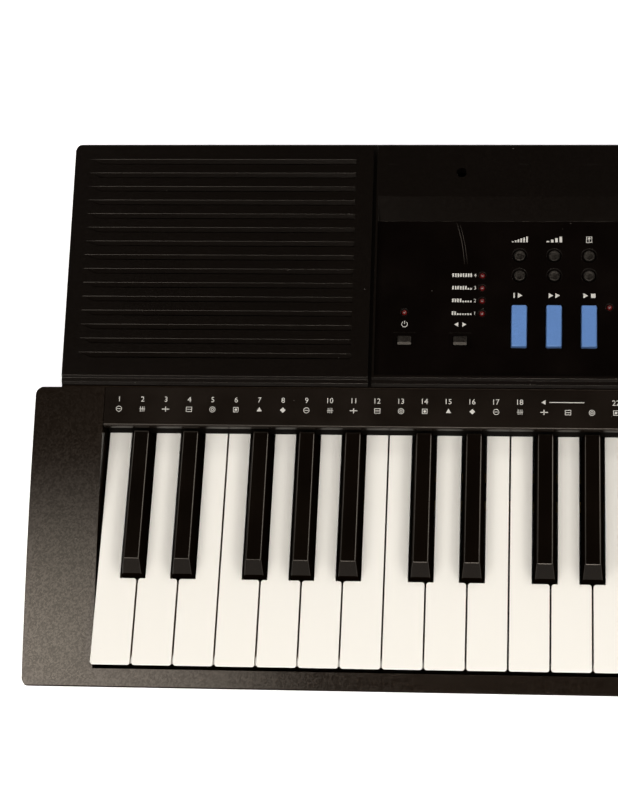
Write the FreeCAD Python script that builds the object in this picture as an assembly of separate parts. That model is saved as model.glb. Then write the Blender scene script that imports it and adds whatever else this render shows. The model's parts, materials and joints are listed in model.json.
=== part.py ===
import FreeCAD, Part
import math
import os

Vector = FreeCAD.Vector

# Frame: millimetres, +X right, +Y back, +Z up, origin under the middle of the case on the table.
# "Key" coordinates below are y from the front edge of the white keys and z from their tops.
# "Slope" coordinates are v up the sloped top of the case and w square to it, from its front edge.

# White keys
WHITE_COUNT = 29
WHITE_PITCH = 23.5
WHITE_GAP = 1.0
WHITE_LENGTH = 145.0
WHITE_SKIRT = 14.0
WHITE_SKIN = 1.8
WHITE_CORNER = 1.6
LIP_LENGTH = 9.0
LIP_EDGE = 0.8
LIP_DEPTH = 7.0
APRON_DROP = 22.0
KEY_DIP = 9.0

# Black keys
BLACK_FRONT = 53.6
BLACK_SETBACK = 4.5
BLACK_WIDTH = 12.4
BLACK_TOP_WIDTH = 9.5
BLACK_HEIGHT = 12.0
BLACK_SKIRT = 10.0
BLACK_FRONT_RAKE = 6.3
BLACK_LIP = 5.0
BLACK_ROUND = 1.2
BLACK_SKIN = 2.2
BLACK_GAP = 1.1
BLACK_TURN_DEG = 3.5

# How far each black key sits from the line between its two white keys
BLACK_SHIFT = {"c": -2.7, "d": 2.7, "f": -3.3, "g": 0.0, "a": 3.3}
NATURALS = ["c", "d", "e", "f", "g", "a", "b"]
FIRST_OCTAVE = 2
SINGLE_OCTAVES = 2

# Key pivot and contacts
PIVOT_SETBACK = 45.0
PIVOT_DROP = 8.0
ROD_RADIUS = 2.5
ROD_CLEARANCE = 0.05
TAIL_WIDTH = 10.0
TAIL_HEIGHT = 8.0
TAIL_BOSS_RADIUS = 5.5
STEM_SETBACK = 25.0
STEM_SIZE = 5.0
STEM_CLEARANCE = 0.4

# Key chassis
CHASSIS_DROP = 25.0
CHASSIS_THICKNESS = 2.5
CHASSIS_FRONT = 14.0
CHASSIS_TAIL = 14.0
CHASSIS_SIDE_GAP = 0.9
PIVOT_RIB = 2.0
PIVOT_RIB_LENGTH = 16.0
PIVOT_RIB_CAP = 5.0
GUIDE_Y = 29.0
GUIDE_LENGTH = 10.0
GUIDE_TOP_DROP = 11.5
GUIDE_CLEARANCE = 0.5
BOARD = 1.6
CONTACT_BOARD_WIDTH = 24.0
RUBBER_HEIGHT = 3.2
RUBBER_BASE = 12.0
RUBBER_TOP = 7.0

# Case
FOOT_HEIGHT = 3.0
FOOT_RADIUS = 8.0
KEY_HEIGHT = 49.0
SEAM_HEIGHT = 21.0
WALL = 2.5
CHEEK_WIDTH = 40.6
CHEEK_GAP = 1.4
SHOULDER = 15.0
SHOULDER_RADIUS = 4.8
SHOULDER_LEAD = 0.2
FRONT_CORNER = 4.2
BACK_CORNER = 5.0
NOSE = 5.1
NOSE_RADIUS = 0.8
NOSE_DROP = 23.3
NOSE_TOP_DEG = 112.0
NOSE_BOTTOM_DEG = 213.0
CHEEK_RISE = 20.5
CHEEK_CROWN = 3.9
RAIL_EDGE = 4.7
RAIL_WALL = 2.0
BASE_SETBACK = 12.0
BASE_CHAMFER = 5.0
STRIP_OVERHANG = 3.5
STRIP_DEPTH = 23.1
STRIP_THICKNESS = 2.0
STRIP_SKIRT = 3.4
STRIP_ROUND = 1.4
STRIP_GAP = 0.3
STRIP_RISE = 16.7
BEAM_DROP = 3.5
JOINT_GAP = 1.0
FOOT_INSET = 20.0

# Sloped top
STEP_DEPTH = 5.4
MOULDING_RUN = 1.3
MOULDING_DROP = 2.0
MOULDING_EDGE = 0.9
MOULDING_LIP = 1.5
HOUSING_DEPTH = 144.0
HOUSING_RISE = 24.8
SLOPE = 0.167
DECK_DROP = 9.0
DECK_THICKNESS = 2.5
DECK_FLANGE = 9.0
COVER_SKIN = 3.0
COVER_SKIRT = 2.2
BACK_EDGE = 0.8
GROOVE_WIDTH = 2.3
GROOVE_DEPTH = 5.0
GROOVE_END = 3.0
GROOVE_LIP_GAP = 0.1
PANEL_WIDTH = 372.3

# Louvres
LOUVRE_PITCH = 8.7
LOUVRE_FIRST = 14.2
LOUVRE_BACK_MARGIN = 9.5
LOUVRE_WIDTH = 3.3
LOUVRE_DEPTH = 2.2
LOUVRE_RAMP = 7.0
LOUVRE_OUTER_MARGIN = 9.5
LOUVRE_INNER_MARGIN = 10.3
SOUND_SLOT = 1.0
SOUND_SLOT_END = 16.0

# Loudspeakers, with v from the middle of the slope
SPEAKER_RADIUS = 52.0
SPEAKER_RIM = 6.0
SPEAKER_RING = 5.0
SPEAKER_V = 1.0
SPEAKER_DEPTH = 38.0
MAGNET_RADIUS = 30.0
MAGNET_HEIGHT = 14.0
BASKET_NECK = 24.0
CONE_NECK = 12.0
DUST_CAP_RISE = 4.5

# Control panel, with the v of holes and marks from the middle of the rear ledge
PLATE_DROP = 4.5
PLATE_THICKNESS = 2.0
PLATE_FRONT = 1.5
PLATE_DEPTH = 97.0
PLATE_GAP = 0.15
PANEL_RIB = 1.2
BAND_DEPTH = 14.0
SEAT_RIM = 14.0
SEAT_SIDE_RIM = 8.0
STAND_HOLE_RADIUS = 3.0
STAND_HOLE_BOSS = 6.0
STAND_HOLE_X = 136.0
STAND_HOLE_V = -1.45
PANEL_BOARD_DROP = 16.0
PANEL_POST_RADIUS = 3.0
PANEL_POST_GAP = 0.5
LEDGE_MARK_SIZE = (6.0, 5.0)
LEDGE_MARK_DEPTH = 0.4
LEDGE_MARK_PITCH = 39.4
LEDGE_MARK_COUNT = 10
LEDGE_MARK_V = 1.35

# Buttons and lamps, as x in from the panel's edge on their side and v up the slope
BUTTON_CLEARANCE = 0.4
BUTTON_FLANGE = 1.2
FLANGE_THICKNESS = 1.5
FLANGE_GAP = 0.2
BUTTON_CORNER = 0.8
BUTTON_EDGE = 0.6
BEZEL_DEPTH = 0.8
SWITCH_HEIGHT = 3.0
SWITCH_SIZE = 6.0
STEM_RADIUS = 1.5
POWER_SIZE = (8.1, 5.4)
POWER_BEZEL = (13.0, 9.8)
POWER_HEIGHT = 0.7
POWER_TRAVEL = 1.6
POWER_RAKE = 0.7
POWER_RAKE_RUN = 1.5
POWER_X = 18.15
MODE_X = 50.65
POWER_V = 24.3
ROUND_RADIUS = 3.3
ROUND_BEZEL = 4.6
ROUND_HEIGHT = 0.2
ROUND_DISH = 0.4
ROUND_DISH_RIM = 0.7
ROUND_TRAVEL = 1.0
ROUND_V = (64.8, 77.2)
COLUMN_X = (84.75, 104.95, 125.25)
BLUE_SIZE = (8.7, 25.4)
BLUE_BEZEL_MARGIN = 1.2
BLUE_HEIGHT = 1.8
BLUE_TRAVEL = 1.5
BLUE_V = 33.2
NUMBER_SIZE = (9.0, 7.0)
NUMBER_COLUMNS = 5
NUMBER_ROWS = 2
NUMBER_PITCH = (20.25, 16.0)
NUMBER_X = 24.0
NUMBER_V = 30.0
SELECT_X = (136.75, 157.0)
LAMP_RADIUS = 1.5
LAMP_RISE = 0.5
LAMP_RIM = 2.4
LAMP_COLLAR = 2.0
LAMP_HOLE_GAP = 0.05
LAMP_LEAD = 0.9
LAMP_PLACES = (
    (17.9, 41.6),
    (63.1, 41.1),
    (63.1, 49.0),
    (63.1, 56.9),
    (63.1, 64.7),
    (137.1, 45.3),
)

# Battery bay
BAY_LENGTH = 206.0
BAY_WALL = 2.0
BAY_HEIGHT = 36.0
DOOR_LENGTH = 196.0
DOOR_DEPTH = 80.0
DOOR_LIP = 14.0
DOOR_GAP = 0.3
TONGUE_REACH = 3.0
TONGUE_THICKNESS = 1.4
TONGUE_ROOT = 4.0
TONGUE_GAP = 0.1
TONGUE_BACK = 10.0
GRIP_COUNT = 6
GRIP_PITCH = 3.2
GRIP_SIZE = (44.0, 1.6)
GRIP_DEPTH = 0.8
GRIP_BACK = 9.0

# Boards, jacks and screws
MAIN_BOARD_SIZE = (92.0, 80.0)
MAIN_BOARD_X = -165.0
MAIN_BOARD_BACK = 14.0
PROCESSOR_SIZE = (36.0, 16.0, 4.0)
PROCESSOR_INSET = (28.0, 24.0)
AMPLIFIER_SIZE = (22.0, 8.0, 12.0)
AMPLIFIER_INSET = (10.0, 56.0)
CAPACITOR_RADIUS = 5.0
CAPACITOR_HEIGHT = 14.0
CAPACITOR_INSET = (55.0, 60.0)
CAPACITOR_PITCH = 18.0
STANDOFF = 6.0
STANDOFF_RADIUS = 3.0
STANDOFF_INSET = 5.0
JACK_BODY = (14.0, 18.0, 14.0)
JACK_COLLAR = 5.0
JACK_COLLAR_GAP = 0.05
JACK_DROP = 14.0
JACK_DEPTH = 16.0
JACKS = ((140.0, 3.2), (165.0, 3.2), (190.0, 2.8))
SCREW_RADIUS = 1.5
SCREW_HEAD_RADIUS = 3.2
SCREW_HEAD = 2.4
SCREW_SEAT = 9.0
SCREW_GRIP = 10.0
SCREW_GAP = 0.05
SCREW_HEAD_GAP = 0.4
BOSS_RADIUS = 5.0
CHEEK_SCREW_INSET = 20.0
CHEEK_SCREW_Y = (40.0, 130.0)
DECK_SCREW_INSET = 9.0
DECK_SCREW_FRONT = 25.0
DECK_SCREW_BACK = 19.0
RIB = 2.0
RIB_MARGIN = 12.0

# Places that follow from the sizes above
KEYBED = WHITE_COUNT * WHITE_PITCH
BED_HALF = KEYBED / 2 + CHEEK_GAP
CASE_HALF = BED_HALF + CHEEK_WIDTH
REAR_HALF = CASE_HALF - SHOULDER
PANEL_HALF = PANEL_WIDTH / 2
STRIP_FRONT = WHITE_LENGTH - STRIP_OVERHANG
STRIP_BACK = STRIP_FRONT + STRIP_DEPTH
SHOULDER_Y = STRIP_BACK - SHOULDER_LEAD
HOUSING_FRONT = STRIP_BACK + STEP_DEPTH
CASE_BACK = HOUSING_FRONT + HOUSING_DEPTH
CASE_DEPTH = NOSE + CASE_BACK
FRONT_Y = -CASE_DEPTH / 2
BACK_Y = CASE_DEPTH / 2
KEY_Y = FRONT_Y + NOSE
KEY_Z = FOOT_HEIGHT + KEY_HEIGHT
SEAM_Z = FOOT_HEIGHT + SEAM_HEIGHT
FLOOR_Z = FOOT_HEIGHT + WALL
SLOPE_DEG = math.degrees(math.atan(SLOPE))
SLOPE_COS = math.cos(math.radians(SLOPE_DEG))
DECK_FALL = DECK_DROP / SLOPE_COS
PIVOT_Y = WHITE_LENGTH + PIVOT_SETBACK
WHITE_TURN = math.asin(KEY_DIP / PIVOT_Y)
BLACK_TURN = math.radians(BLACK_TURN_DEG)
BLACK_BACK = WHITE_LENGTH - BLACK_SETBACK
NOTCH_FRONT = BLACK_FRONT - WHITE_GAP
STEM_Y = WHITE_LENGTH - STEM_SETBACK
RUBBER_TOP_Z = BOARD + RUBBER_HEIGHT - CHASSIS_DROP
CHASSIS_BACK = PIVOT_Y + CHASSIS_TAIL
PLATE_BACK = PLATE_FRONT + PLATE_DEPTH
PLATE_TOP = -PLATE_DROP
PLATE_BOTTOM = PLATE_TOP - PLATE_THICKNESS
SLOPE_LENGTH = HOUSING_DEPTH / SLOPE_COS
SLOPE_MIDDLE = SLOPE_LENGTH / 2
LEDGE_MIDDLE = (PLATE_BACK + BAND_DEPTH + SLOPE_LENGTH) / 2
LOUVRE_COUNT = 1 + int((SLOPE_LENGTH - LOUVRE_FIRST - LOUVRE_BACK_MARGIN) / LOUVRE_PITCH)
OVERCUT = 1.0
TOLERANCE = 0.001
HIGH = 400.0
FAR = 1000.0


def at(y, z, x=0.0):
    """A point given in key coordinates."""
    return Vector(x, KEY_Y + y, KEY_Z + z)


def box(x0, x1, y0, y1, z0, z1):
    return Part.makeBox(x1 - x0, y1 - y0, z1 - z0, Vector(x0, y0, z0))


def key_box(x0, x1, y0, y1, z0, z1):
    """A box given in key coordinates, with x from the middle of the case."""
    return box(x0, x1, KEY_Y + y0, KEY_Y + y1, KEY_Z + z0, KEY_Z + z1)


def face_of(points):
    return Part.Face(Part.makePolygon(points + points[:1]))


def prism_x(points, x0, x1):
    """A side view in key coordinates, drawn out along X."""
    return face_of([at(y, z, x0) for y, z in points]).extrude(Vector(x1 - x0, 0, 0))


def tilted(shape):
    """Moves a shape made in slope coordinates onto the sloped top of the case."""
    moved = shape.copy()
    moved.rotate(Vector(0, 0, 0), Vector(1, 0, 0), SLOPE_DEG)
    moved.translate(at(HOUSING_FRONT, HOUSING_RISE))
    return moved


def slope_prism(points, x0, x1):
    """A side view in slope coordinates, drawn out along X."""
    return tilted(face_of([Vector(x0, v, w) for v, w in points]).extrude(Vector(x1 - x0, 0, 0)))


def slope_box(x0, x1, v0, v1, w0, w1):
    return tilted(box(x0, x1, v0, v1, w0, w1))


def slope_cone(x, v, w, length, low_radius, high_radius):
    """A cylinder or cone square to the slope, from w upwards."""
    if low_radius == high_radius:
        shape = Part.makeCylinder(low_radius, length, Vector(x, v, w))
    else:
        shape = Part.makeCone(low_radius, high_radius, length, Vector(x, v, w))
    return tilted(shape)


def rounded_wire(corners):
    """A closed outline from (x, y, radius) corners, each rounded by an arc."""
    edges = []
    starts = []
    count = len(corners)
    for i in range(count):
        x, y, radius = corners[i]
        here = Vector(x, y, 0)
        before = Vector(corners[i - 1][0], corners[i - 1][1], 0)
        after = Vector(corners[(i + 1) % count][0], corners[(i + 1) % count][1], 0)
        to_before = (before - here).normalize()
        to_after = (after - here).normalize()
        if radius <= 0:
            starts.append((here, here))
            continue
        half = to_before.getAngle(to_after) / 2
        reach = radius / math.tan(half)
        inward = (to_before + to_after).normalize()
        middle = here + inward * (radius / math.sin(half) - radius)
        start = here + to_before * reach
        end = here + to_after * reach
        edges.append(Part.Arc(start, middle, end).toShape())
        starts.append((start, end))
    for i in range(count):
        leave = starts[i][1]
        arrive = starts[(i + 1) % count][0]
        if (arrive - leave).Length > 1e-6:
            edges.append(Part.makeLine(leave, arrive))
    return Part.Wire(Part.__sortEdges__(edges))


def rounded_prism(corners, z0, z1):
    face = Part.Face(rounded_wire(corners))
    face.translate(Vector(0, 0, z0))
    return face.extrude(Vector(0, 0, z1 - z0))


def rounded_block(x, v, size, radius, w0, w1):
    """An upright block with rounded corners, in slope coordinates."""
    half_x = size[0] / 2
    half_v = size[1] / 2
    corners = [
        (x - half_x, v - half_v, radius),
        (x + half_x, v - half_v, radius),
        (x + half_x, v + half_v, radius),
        (x - half_x, v + half_v, radius),
    ]
    return tilted(rounded_prism(corners, w0, w1))


def rod_x(y, z, radius, x0, x1):
    """A cylinder along X, at y and z in key coordinates."""
    return Part.makeCylinder(radius, x1 - x0, at(y, z, x0), Vector(1, 0, 0))


def fuse(shapes):
    return shapes[0].multiFuse(shapes[1:]).removeSplitter()


# Outer form of the case

def side_wire():
    """Side view: round nose, crowned cheek, step, sloped top, upright back and flat base."""
    def nose(degrees):
        turn = math.radians(degrees)
        y = NOSE_RADIUS - NOSE + NOSE_RADIUS * math.cos(turn)
        return at(y, NOSE_RADIUS * math.sin(turn) - NOSE_DROP)

    top_front = nose(NOSE_TOP_DEG)
    cheek_back = at(STRIP_BACK, CHEEK_RISE)
    chord = cheek_back - top_front
    crown = (top_front + cheek_back) * 0.5 + Vector(0, -chord.z, chord.y).normalize() * CHEEK_CROWN
    nose_mid = nose((NOSE_TOP_DEG + NOSE_BOTTOM_DEG) / 2)
    nose_low = nose(NOSE_BOTTOM_DEG)
    corners = [
        cheek_back,
        at(HOUSING_FRONT, HOUSING_RISE),
        at(CASE_BACK, HOUSING_RISE + SLOPE * HOUSING_DEPTH),
        at(CASE_BACK, BASE_CHAMFER - KEY_HEIGHT),
        at(CASE_BACK - BASE_CHAMFER, -KEY_HEIGHT),
        at(BASE_SETBACK, -KEY_HEIGHT),
        nose_low,
    ]
    edges = [Part.makeLine(corners[i], corners[i + 1]) for i in range(len(corners) - 1)]
    edges.append(Part.Arc(nose_low, nose_mid, top_front).toShape())
    edges.append(Part.Arc(top_front, crown, cheek_back).toShape())
    return Part.Wire(edges)


def plan_prism(inset):
    """Plan view: wide across the keys, stepping in at the shoulders."""
    step_y = KEY_Y + SHOULDER_Y - inset
    wide = CASE_HALF - inset
    narrow = REAR_HALF - inset
    front = max(FRONT_CORNER - inset, 0.5)
    shoulder = max(SHOULDER_RADIUS - inset, 0.5)
    back = max(BACK_CORNER - inset, 0.5)
    corners = [
        (-wide, FRONT_Y + inset, front),
        (wide, FRONT_Y + inset, front),
        (wide, step_y, shoulder),
        (narrow, step_y, 0),
        (narrow, BACK_Y - inset, back),
        (-narrow, BACK_Y - inset, back),
        (-narrow, step_y, 0),
        (-wide, step_y, shoulder),
    ]
    return rounded_prism(corners, 0, HIGH)


def envelope(inset):
    """The whole case as one block, with its faces moved in by a wall."""
    wire = side_wire()
    if inset > 0:
        wire = wire.makeOffset2D(-inset, 2)
    side = Part.Face(wire)
    side.translate(Vector(-FAR, 0, 0))
    return side.extrude(Vector(2 * FAR, 0, 0)).common(plan_prism(inset))


def base_bevel():
    """Wedges that take the sharp edge off the sides of the base."""
    wedges = []
    for half, y0, y1 in (
        (CASE_HALF, FRONT_Y, KEY_Y + SHOULDER_Y),
        (REAR_HALF, KEY_Y + SHOULDER_Y, BACK_Y),
    ):
        for side in (-1, 1):
            points = [
                Vector(side * half, y0, FOOT_HEIGHT),
                Vector(side * (half - WALL), y0, FOOT_HEIGHT),
                Vector(side * half, y0, FOOT_HEIGHT + WALL),
            ]
            wedges.append(face_of(points).extrude(Vector(0, y1 - y0, 0)))
    return wedges


def above_deck():
    """The space above the deck that carries the covers."""
    return prism_x(
        [
            (STRIP_BACK + JOINT_GAP / 2, deck_z(STRIP_BACK + JOINT_GAP / 2)),
            (CASE_BACK + WALL, deck_z(CASE_BACK + WALL)),
            (CASE_BACK + WALL, HIGH),
            (STRIP_BACK + JOINT_GAP / 2, HIGH),
        ],
        -FAR,
        FAR,
    )


def deck_z(y):
    return HOUSING_RISE + SLOPE * (y - HOUSING_FRONT) - DECK_FALL


# Case halves

def screw_places():
    """Where the case screws stand, as x and y."""
    places = []
    for side in (-1, 1):
        for y in CHEEK_SCREW_Y:
            places.append((side * (CASE_HALF - CHEEK_SCREW_INSET), KEY_Y + y))
        for y in (HOUSING_FRONT + DECK_SCREW_FRONT, CASE_BACK - DECK_SCREW_BACK):
            places.append((side * (REAR_HALF - DECK_SCREW_INSET), KEY_Y + y))
    return places


def standoff_places():
    half_x = MAIN_BOARD_SIZE[0] / 2 - STANDOFF_INSET
    half_y = MAIN_BOARD_SIZE[1] / 2 - STANDOFF_INSET
    middle_y = BACK_Y - MAIN_BOARD_BACK - MAIN_BOARD_SIZE[1] / 2
    return [(MAIN_BOARD_X + sx * half_x, middle_y + sy * half_y) for sx in (-1, 1) for sy in (-1, 1)]


def door_cut(gap):
    """The corner of the case that the battery door fills."""
    half = DOOR_LENGTH / 2 + gap
    lip_top = FOOT_HEIGHT + DOOR_LIP + gap
    return box(-half, half, BACK_Y - DOOR_DEPTH - gap, BACK_Y + WALL, 0, lip_top)


def lower_case(outer, inner):
    tray = outer.cut(inner).common(box(-FAR, FAR, -FAR, FAR, 0, SEAM_Z))
    tray = tray.cut(base_bevel())
    adds = [tray]
    chassis_z = KEY_Z - CHASSIS_DROP - CHASSIS_THICKNESS
    for y in (CHASSIS_FRONT + RIB_MARGIN, CHASSIS_BACK - RIB_MARGIN):
        half = KEYBED / 2 - RIB_MARGIN
        adds.append(box(-half, half, KEY_Y + y, KEY_Y + y + RIB, FLOOR_Z, chassis_z))
    for x, y in screw_places():
        adds.append(Part.makeCylinder(BOSS_RADIUS, SEAM_Z - FLOOR_Z, Vector(x, y, FLOOR_Z)))
    for x, y in standoff_places():
        adds.append(Part.makeCylinder(STANDOFF_RADIUS, STANDOFF, Vector(x, y, FLOOR_Z)))
    cuts = [door_cut(DOOR_GAP)]
    passage = DOOR_LENGTH / 2 + TONGUE_REACH + DOOR_GAP
    passage_top = FLOOR_Z + TONGUE_GAP + TONGUE_THICKNESS + DOOR_GAP
    cuts.append(box(-passage, passage, BACK_Y - TONGUE_BACK, BACK_Y + WALL, FLOOR_Z, passage_top))
    for x, y in screw_places():
        seat_z = FOOT_HEIGHT + SCREW_SEAT
        head_hole = SCREW_HEAD_RADIUS + SCREW_HEAD_GAP
        cuts.append(Part.makeCylinder(head_hole, SCREW_SEAT, Vector(x, y, FOOT_HEIGHT)))
        cuts.append(Part.makeCylinder(SCREW_RADIUS + SCREW_GAP, SEAM_Z - seat_z, Vector(x, y, seat_z)))
    return fuse(adds).cut(cuts)


def deck():
    """Sloped frame under the covers, with an opening below each of them."""
    front = (STRIP_BACK + JOINT_GAP / 2 - HOUSING_FRONT) / SLOPE_COS
    back = SLOPE_LENGTH
    low = -DECK_DROP - DECK_THICKNESS
    slab = slope_box(-REAR_HALF, REAR_HALF, front - WALL, back + WALL, low, -DECK_DROP)
    openings = []
    cover_edge = PANEL_HALF + GROOVE_WIDTH
    for x0, x1 in (
        (-REAR_HALF, -cover_edge),
        (-PANEL_HALF, PANEL_HALF),
        (cover_edge, REAR_HALF),
    ):
        openings.append(
            slope_box(
                x0 + DECK_FLANGE,
                x1 - DECK_FLANGE,
                DECK_FLANGE,
                back - DECK_FLANGE,
                low - WALL,
                0,
            )
        )
    return slab.cut(openings)


def upper_case(outer, inner):
    lid = outer.cut(inner).common(box(-FAR, FAR, -FAR, FAR, SEAM_Z, HIGH))
    bed = key_box(-BED_HALF, BED_HALF, RAIL_EDGE, STRIP_BACK, SEAM_Z - KEY_Z, HIGH)
    shell = lid.cut([bed, above_deck()])
    wall_low = SEAM_Z - KEY_Z
    inside = [
        key_box(-BED_HALF - WALL, -BED_HALF, RAIL_EDGE - RAIL_WALL, STRIP_BACK, wall_low, HIGH),
        key_box(BED_HALF, BED_HALF + WALL, RAIL_EDGE - RAIL_WALL, STRIP_BACK, wall_low, HIGH),
        key_box(-BED_HALF, BED_HALF, RAIL_EDGE - RAIL_WALL, RAIL_EDGE, wall_low, HIGH),
        deck(),
    ]
    inside = [piece.common(outer).cut(above_deck()) for piece in inside]
    joint = STRIP_BACK + JOINT_GAP / 2
    front = STRIP_FRONT + STRIP_THICKNESS + STRIP_GAP
    beam = prism_x(
        [
            (front, STRIP_RISE - BEAM_DROP),
            (front, strip_top(front) - STRIP_THICKNESS),
            (STRIP_BACK, strip_top(STRIP_BACK) - STRIP_THICKNESS),
            (joint, strip_top(STRIP_BACK) - STRIP_THICKNESS),
            (joint, deck_z(joint) - DECK_THICKNESS / SLOPE_COS),
        ],
        -BED_HALF,
        BED_HALF,
    )
    bosses = []
    pilots = []
    for x, y in screw_places():
        boss = Part.makeCylinder(BOSS_RADIUS, HIGH, Vector(x, y, SEAM_Z))
        bosses.append(boss.common(outer).cut(above_deck()))
        pilot = Vector(x, y, SEAM_Z)
        pilots.append(Part.makeCylinder(SCREW_RADIUS + SCREW_GAP, SCREW_GRIP + OVERCUT, pilot))
    holes = [jack_collar(x, JACK_COLLAR_GAP) for x, radius in JACKS]
    return fuse([shell, beam] + inside + bosses).cut(pilots + holes)


def strip_top(y):
    """Height of the key strip, which carries on the line of the cheeks."""
    return STRIP_RISE + (CHEEK_RISE - STRIP_RISE) * (y - STRIP_FRONT) / STRIP_DEPTH


def key_strip():
    """Plate over the key tails, with a rounded front edge and a skirt in front of the beam."""
    half = BED_HALF - STRIP_GAP
    inside = STRIP_FRONT + STRIP_THICKNESS
    strip = prism_x(
        [
            (STRIP_FRONT, STRIP_RISE - STRIP_SKIRT),
            (STRIP_FRONT, STRIP_RISE),
            (STRIP_BACK, CHEEK_RISE),
            (STRIP_BACK, CHEEK_RISE - STRIP_THICKNESS),
            (inside, strip_top(inside) - STRIP_THICKNESS),
            (inside, STRIP_RISE - STRIP_SKIRT),
        ],
        -half,
        half,
    )
    front = at(STRIP_FRONT, STRIP_RISE)
    edges = []
    for edge in strip.Edges:
        middle = edge.CenterOfMass
        if abs(middle.y - front.y) < TOLERANCE and abs(middle.z - front.z) < TOLERANCE:
            edges.append(edge)
    return strip.makeFillet(STRIP_ROUND, edges)


# Covers of the sloped top

def cover_block(x0, x1):
    """A slice of the sloped top, down to the deck, with a stepped moulding along its front."""
    front = STRIP_BACK + JOINT_GAP
    points = [
        (front, deck_z(front)),
        (front, CHEEK_RISE),
        (front + MOULDING_RUN, HOUSING_RISE - MOULDING_DROP),
        (HOUSING_FRONT - MOULDING_EDGE, HOUSING_RISE - MOULDING_LIP),
        (HOUSING_FRONT, HOUSING_RISE),
        (CASE_BACK - BACK_EDGE, HOUSING_RISE + SLOPE * (HOUSING_DEPTH - BACK_EDGE)),
        (CASE_BACK, HOUSING_RISE + SLOPE * HOUSING_DEPTH - BACK_EDGE),
        (CASE_BACK, deck_z(CASE_BACK)),
    ]
    return prism_x(points, x0, x1)


def cover_hollow(x0, x1):
    """The space inside a cover, open downwards."""
    back = SLOPE_LENGTH - COVER_SKIRT - WALL
    low = -DECK_DROP - WALL
    return slope_box(x0 + COVER_SKIRT, x1 - COVER_SKIRT, COVER_SKIRT, back, low, -COVER_SKIN)


def louvre(tip_x, ramp_x, end_x, crest):
    """One louvre: a raked trough that rises to a point at its outer end, with a square inner end."""
    def section(x):
        return [
            Vector(x, crest, 0),
            Vector(x, crest - LOUVRE_WIDTH, -LOUVRE_DEPTH),
            Vector(x, crest - LOUVRE_WIDTH, 0),
        ]

    near = section(ramp_x)
    above = [Vector(ramp_x, crest - LOUVRE_WIDTH, OVERCUT), Vector(ramp_x, crest, OVERCUT)]
    trough = face_of(near[:2] + above).extrude(Vector(end_x - ramp_x, 0, 0))
    tip = Vector(tip_x, crest, 0)
    sides = [face_of(near)]
    for i in range(3):
        triangle = [near[i], near[(i + 1) % 3], tip]
        sides.append(face_of(triangle))
    ramp = Part.Solid(Part.Shell(sides))
    if ramp.Volume < 0:
        ramp.reverse()
    return [tilted(trough), tilted(ramp)]


def speaker_middle(side):
    outer = REAR_HALF
    inner = PANEL_HALF + GROOVE_WIDTH
    return side * (outer + inner) / 2


def speaker_cover(side):
    """One louvred cover; side is -1 on the left and 1 on the right."""
    outer_x = side * REAR_HALF
    inner_x = side * (PANEL_HALF + GROOVE_WIDTH)
    lip_x = side * (PANEL_HALF + GROOVE_LIP_GAP)
    block = cover_block(*sorted([outer_x, lip_x])).common(plan_prism(0))
    groove_ends = sorted([inner_x, side * PANEL_HALF])
    groove = slope_box(*groove_ends, -HIGH, SLOPE_LENGTH - GROOVE_END, -GROOVE_DEPTH, HIGH)
    cover = block.cut([groove, cover_hollow(*sorted([outer_x, inner_x]))])
    middle = speaker_middle(side)
    speaker_v = SLOPE_MIDDLE + SPEAKER_V
    ring_low = -COVER_SKIN - SPEAKER_RING
    rim = SPEAKER_RADIUS - SPEAKER_RIM
    ring = slope_cone(middle, speaker_v, ring_low, SPEAKER_RING, SPEAKER_RADIUS, SPEAKER_RADIUS)
    bore = slope_cone(middle, speaker_v, ring_low, SPEAKER_RING, rim, rim)
    cover = fuse([cover, ring.cut(bore)])
    tip_x = outer_x - side * LOUVRE_OUTER_MARGIN
    ramp_x = tip_x - side * LOUVRE_RAMP
    end_x = inner_x + side * LOUVRE_INNER_MARGIN
    slot_ends = sorted([ramp_x - side * SOUND_SLOT_END, end_x + side * SOUND_SLOT_END])
    slot_low = -COVER_SKIN - OVERCUT
    cuts = []
    for i in range(LOUVRE_COUNT):
        crest = LOUVRE_FIRST + i * LOUVRE_PITCH
        foot = crest - LOUVRE_WIDTH
        cuts += louvre(tip_x, ramp_x, end_x, crest)
        cuts.append(slope_box(slot_ends[0], slot_ends[1], foot, foot + SOUND_SLOT, slot_low, 0))
    return cover.cut(cuts)


def speaker_driver(side):
    """Basket, cone and magnet turned about the speaker's own axis."""
    top = -COVER_SKIN - SPEAKER_RING
    rim = SPEAKER_RADIUS - SPEAKER_RIM
    magnet_top = top - SPEAKER_DEPTH + MAGNET_HEIGHT
    points = [
        (0, top - SPEAKER_DEPTH),
        (MAGNET_RADIUS, top - SPEAKER_DEPTH),
        (MAGNET_RADIUS, magnet_top),
        (BASKET_NECK, magnet_top),
        (rim, top - BOARD),
        (SPEAKER_RADIUS, top - BOARD),
        (SPEAKER_RADIUS, top),
        (rim - BOARD, top),
        (CONE_NECK, magnet_top + BOARD),
        (0, magnet_top + DUST_CAP_RISE),
    ]
    profile = face_of([Vector(r, 0, w) for r, w in points])
    turned = profile.revolve(Vector(0, 0, 0), Vector(0, 0, 1), 360)
    turned.translate(Vector(speaker_middle(side), SLOPE_MIDDLE + SPEAKER_V, 0))
    return tilted(turned)


# Control panel

def post_places():
    """Posts under the rim of the plate's seat, which carry the panel board."""
    room = DECK_FLANGE + PANEL_POST_RADIUS + PANEL_POST_GAP
    half = PANEL_HALF - room
    vs = (room, PLATE_BACK - SEAT_RIM / 2)
    return [(x, v) for x in (-half, -half / 3, half / 3, half) for v in vs]


def stand_holes():
    """Bores that take the legs of a music stand."""
    v = LEDGE_MIDDLE + STAND_HOLE_V
    low = -DECK_DROP - OVERCUT
    radius = STAND_HOLE_RADIUS
    return [slope_cone(side * STAND_HOLE_X, v, low, HIGH, radius, radius) for side in (-1, 1)]


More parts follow.
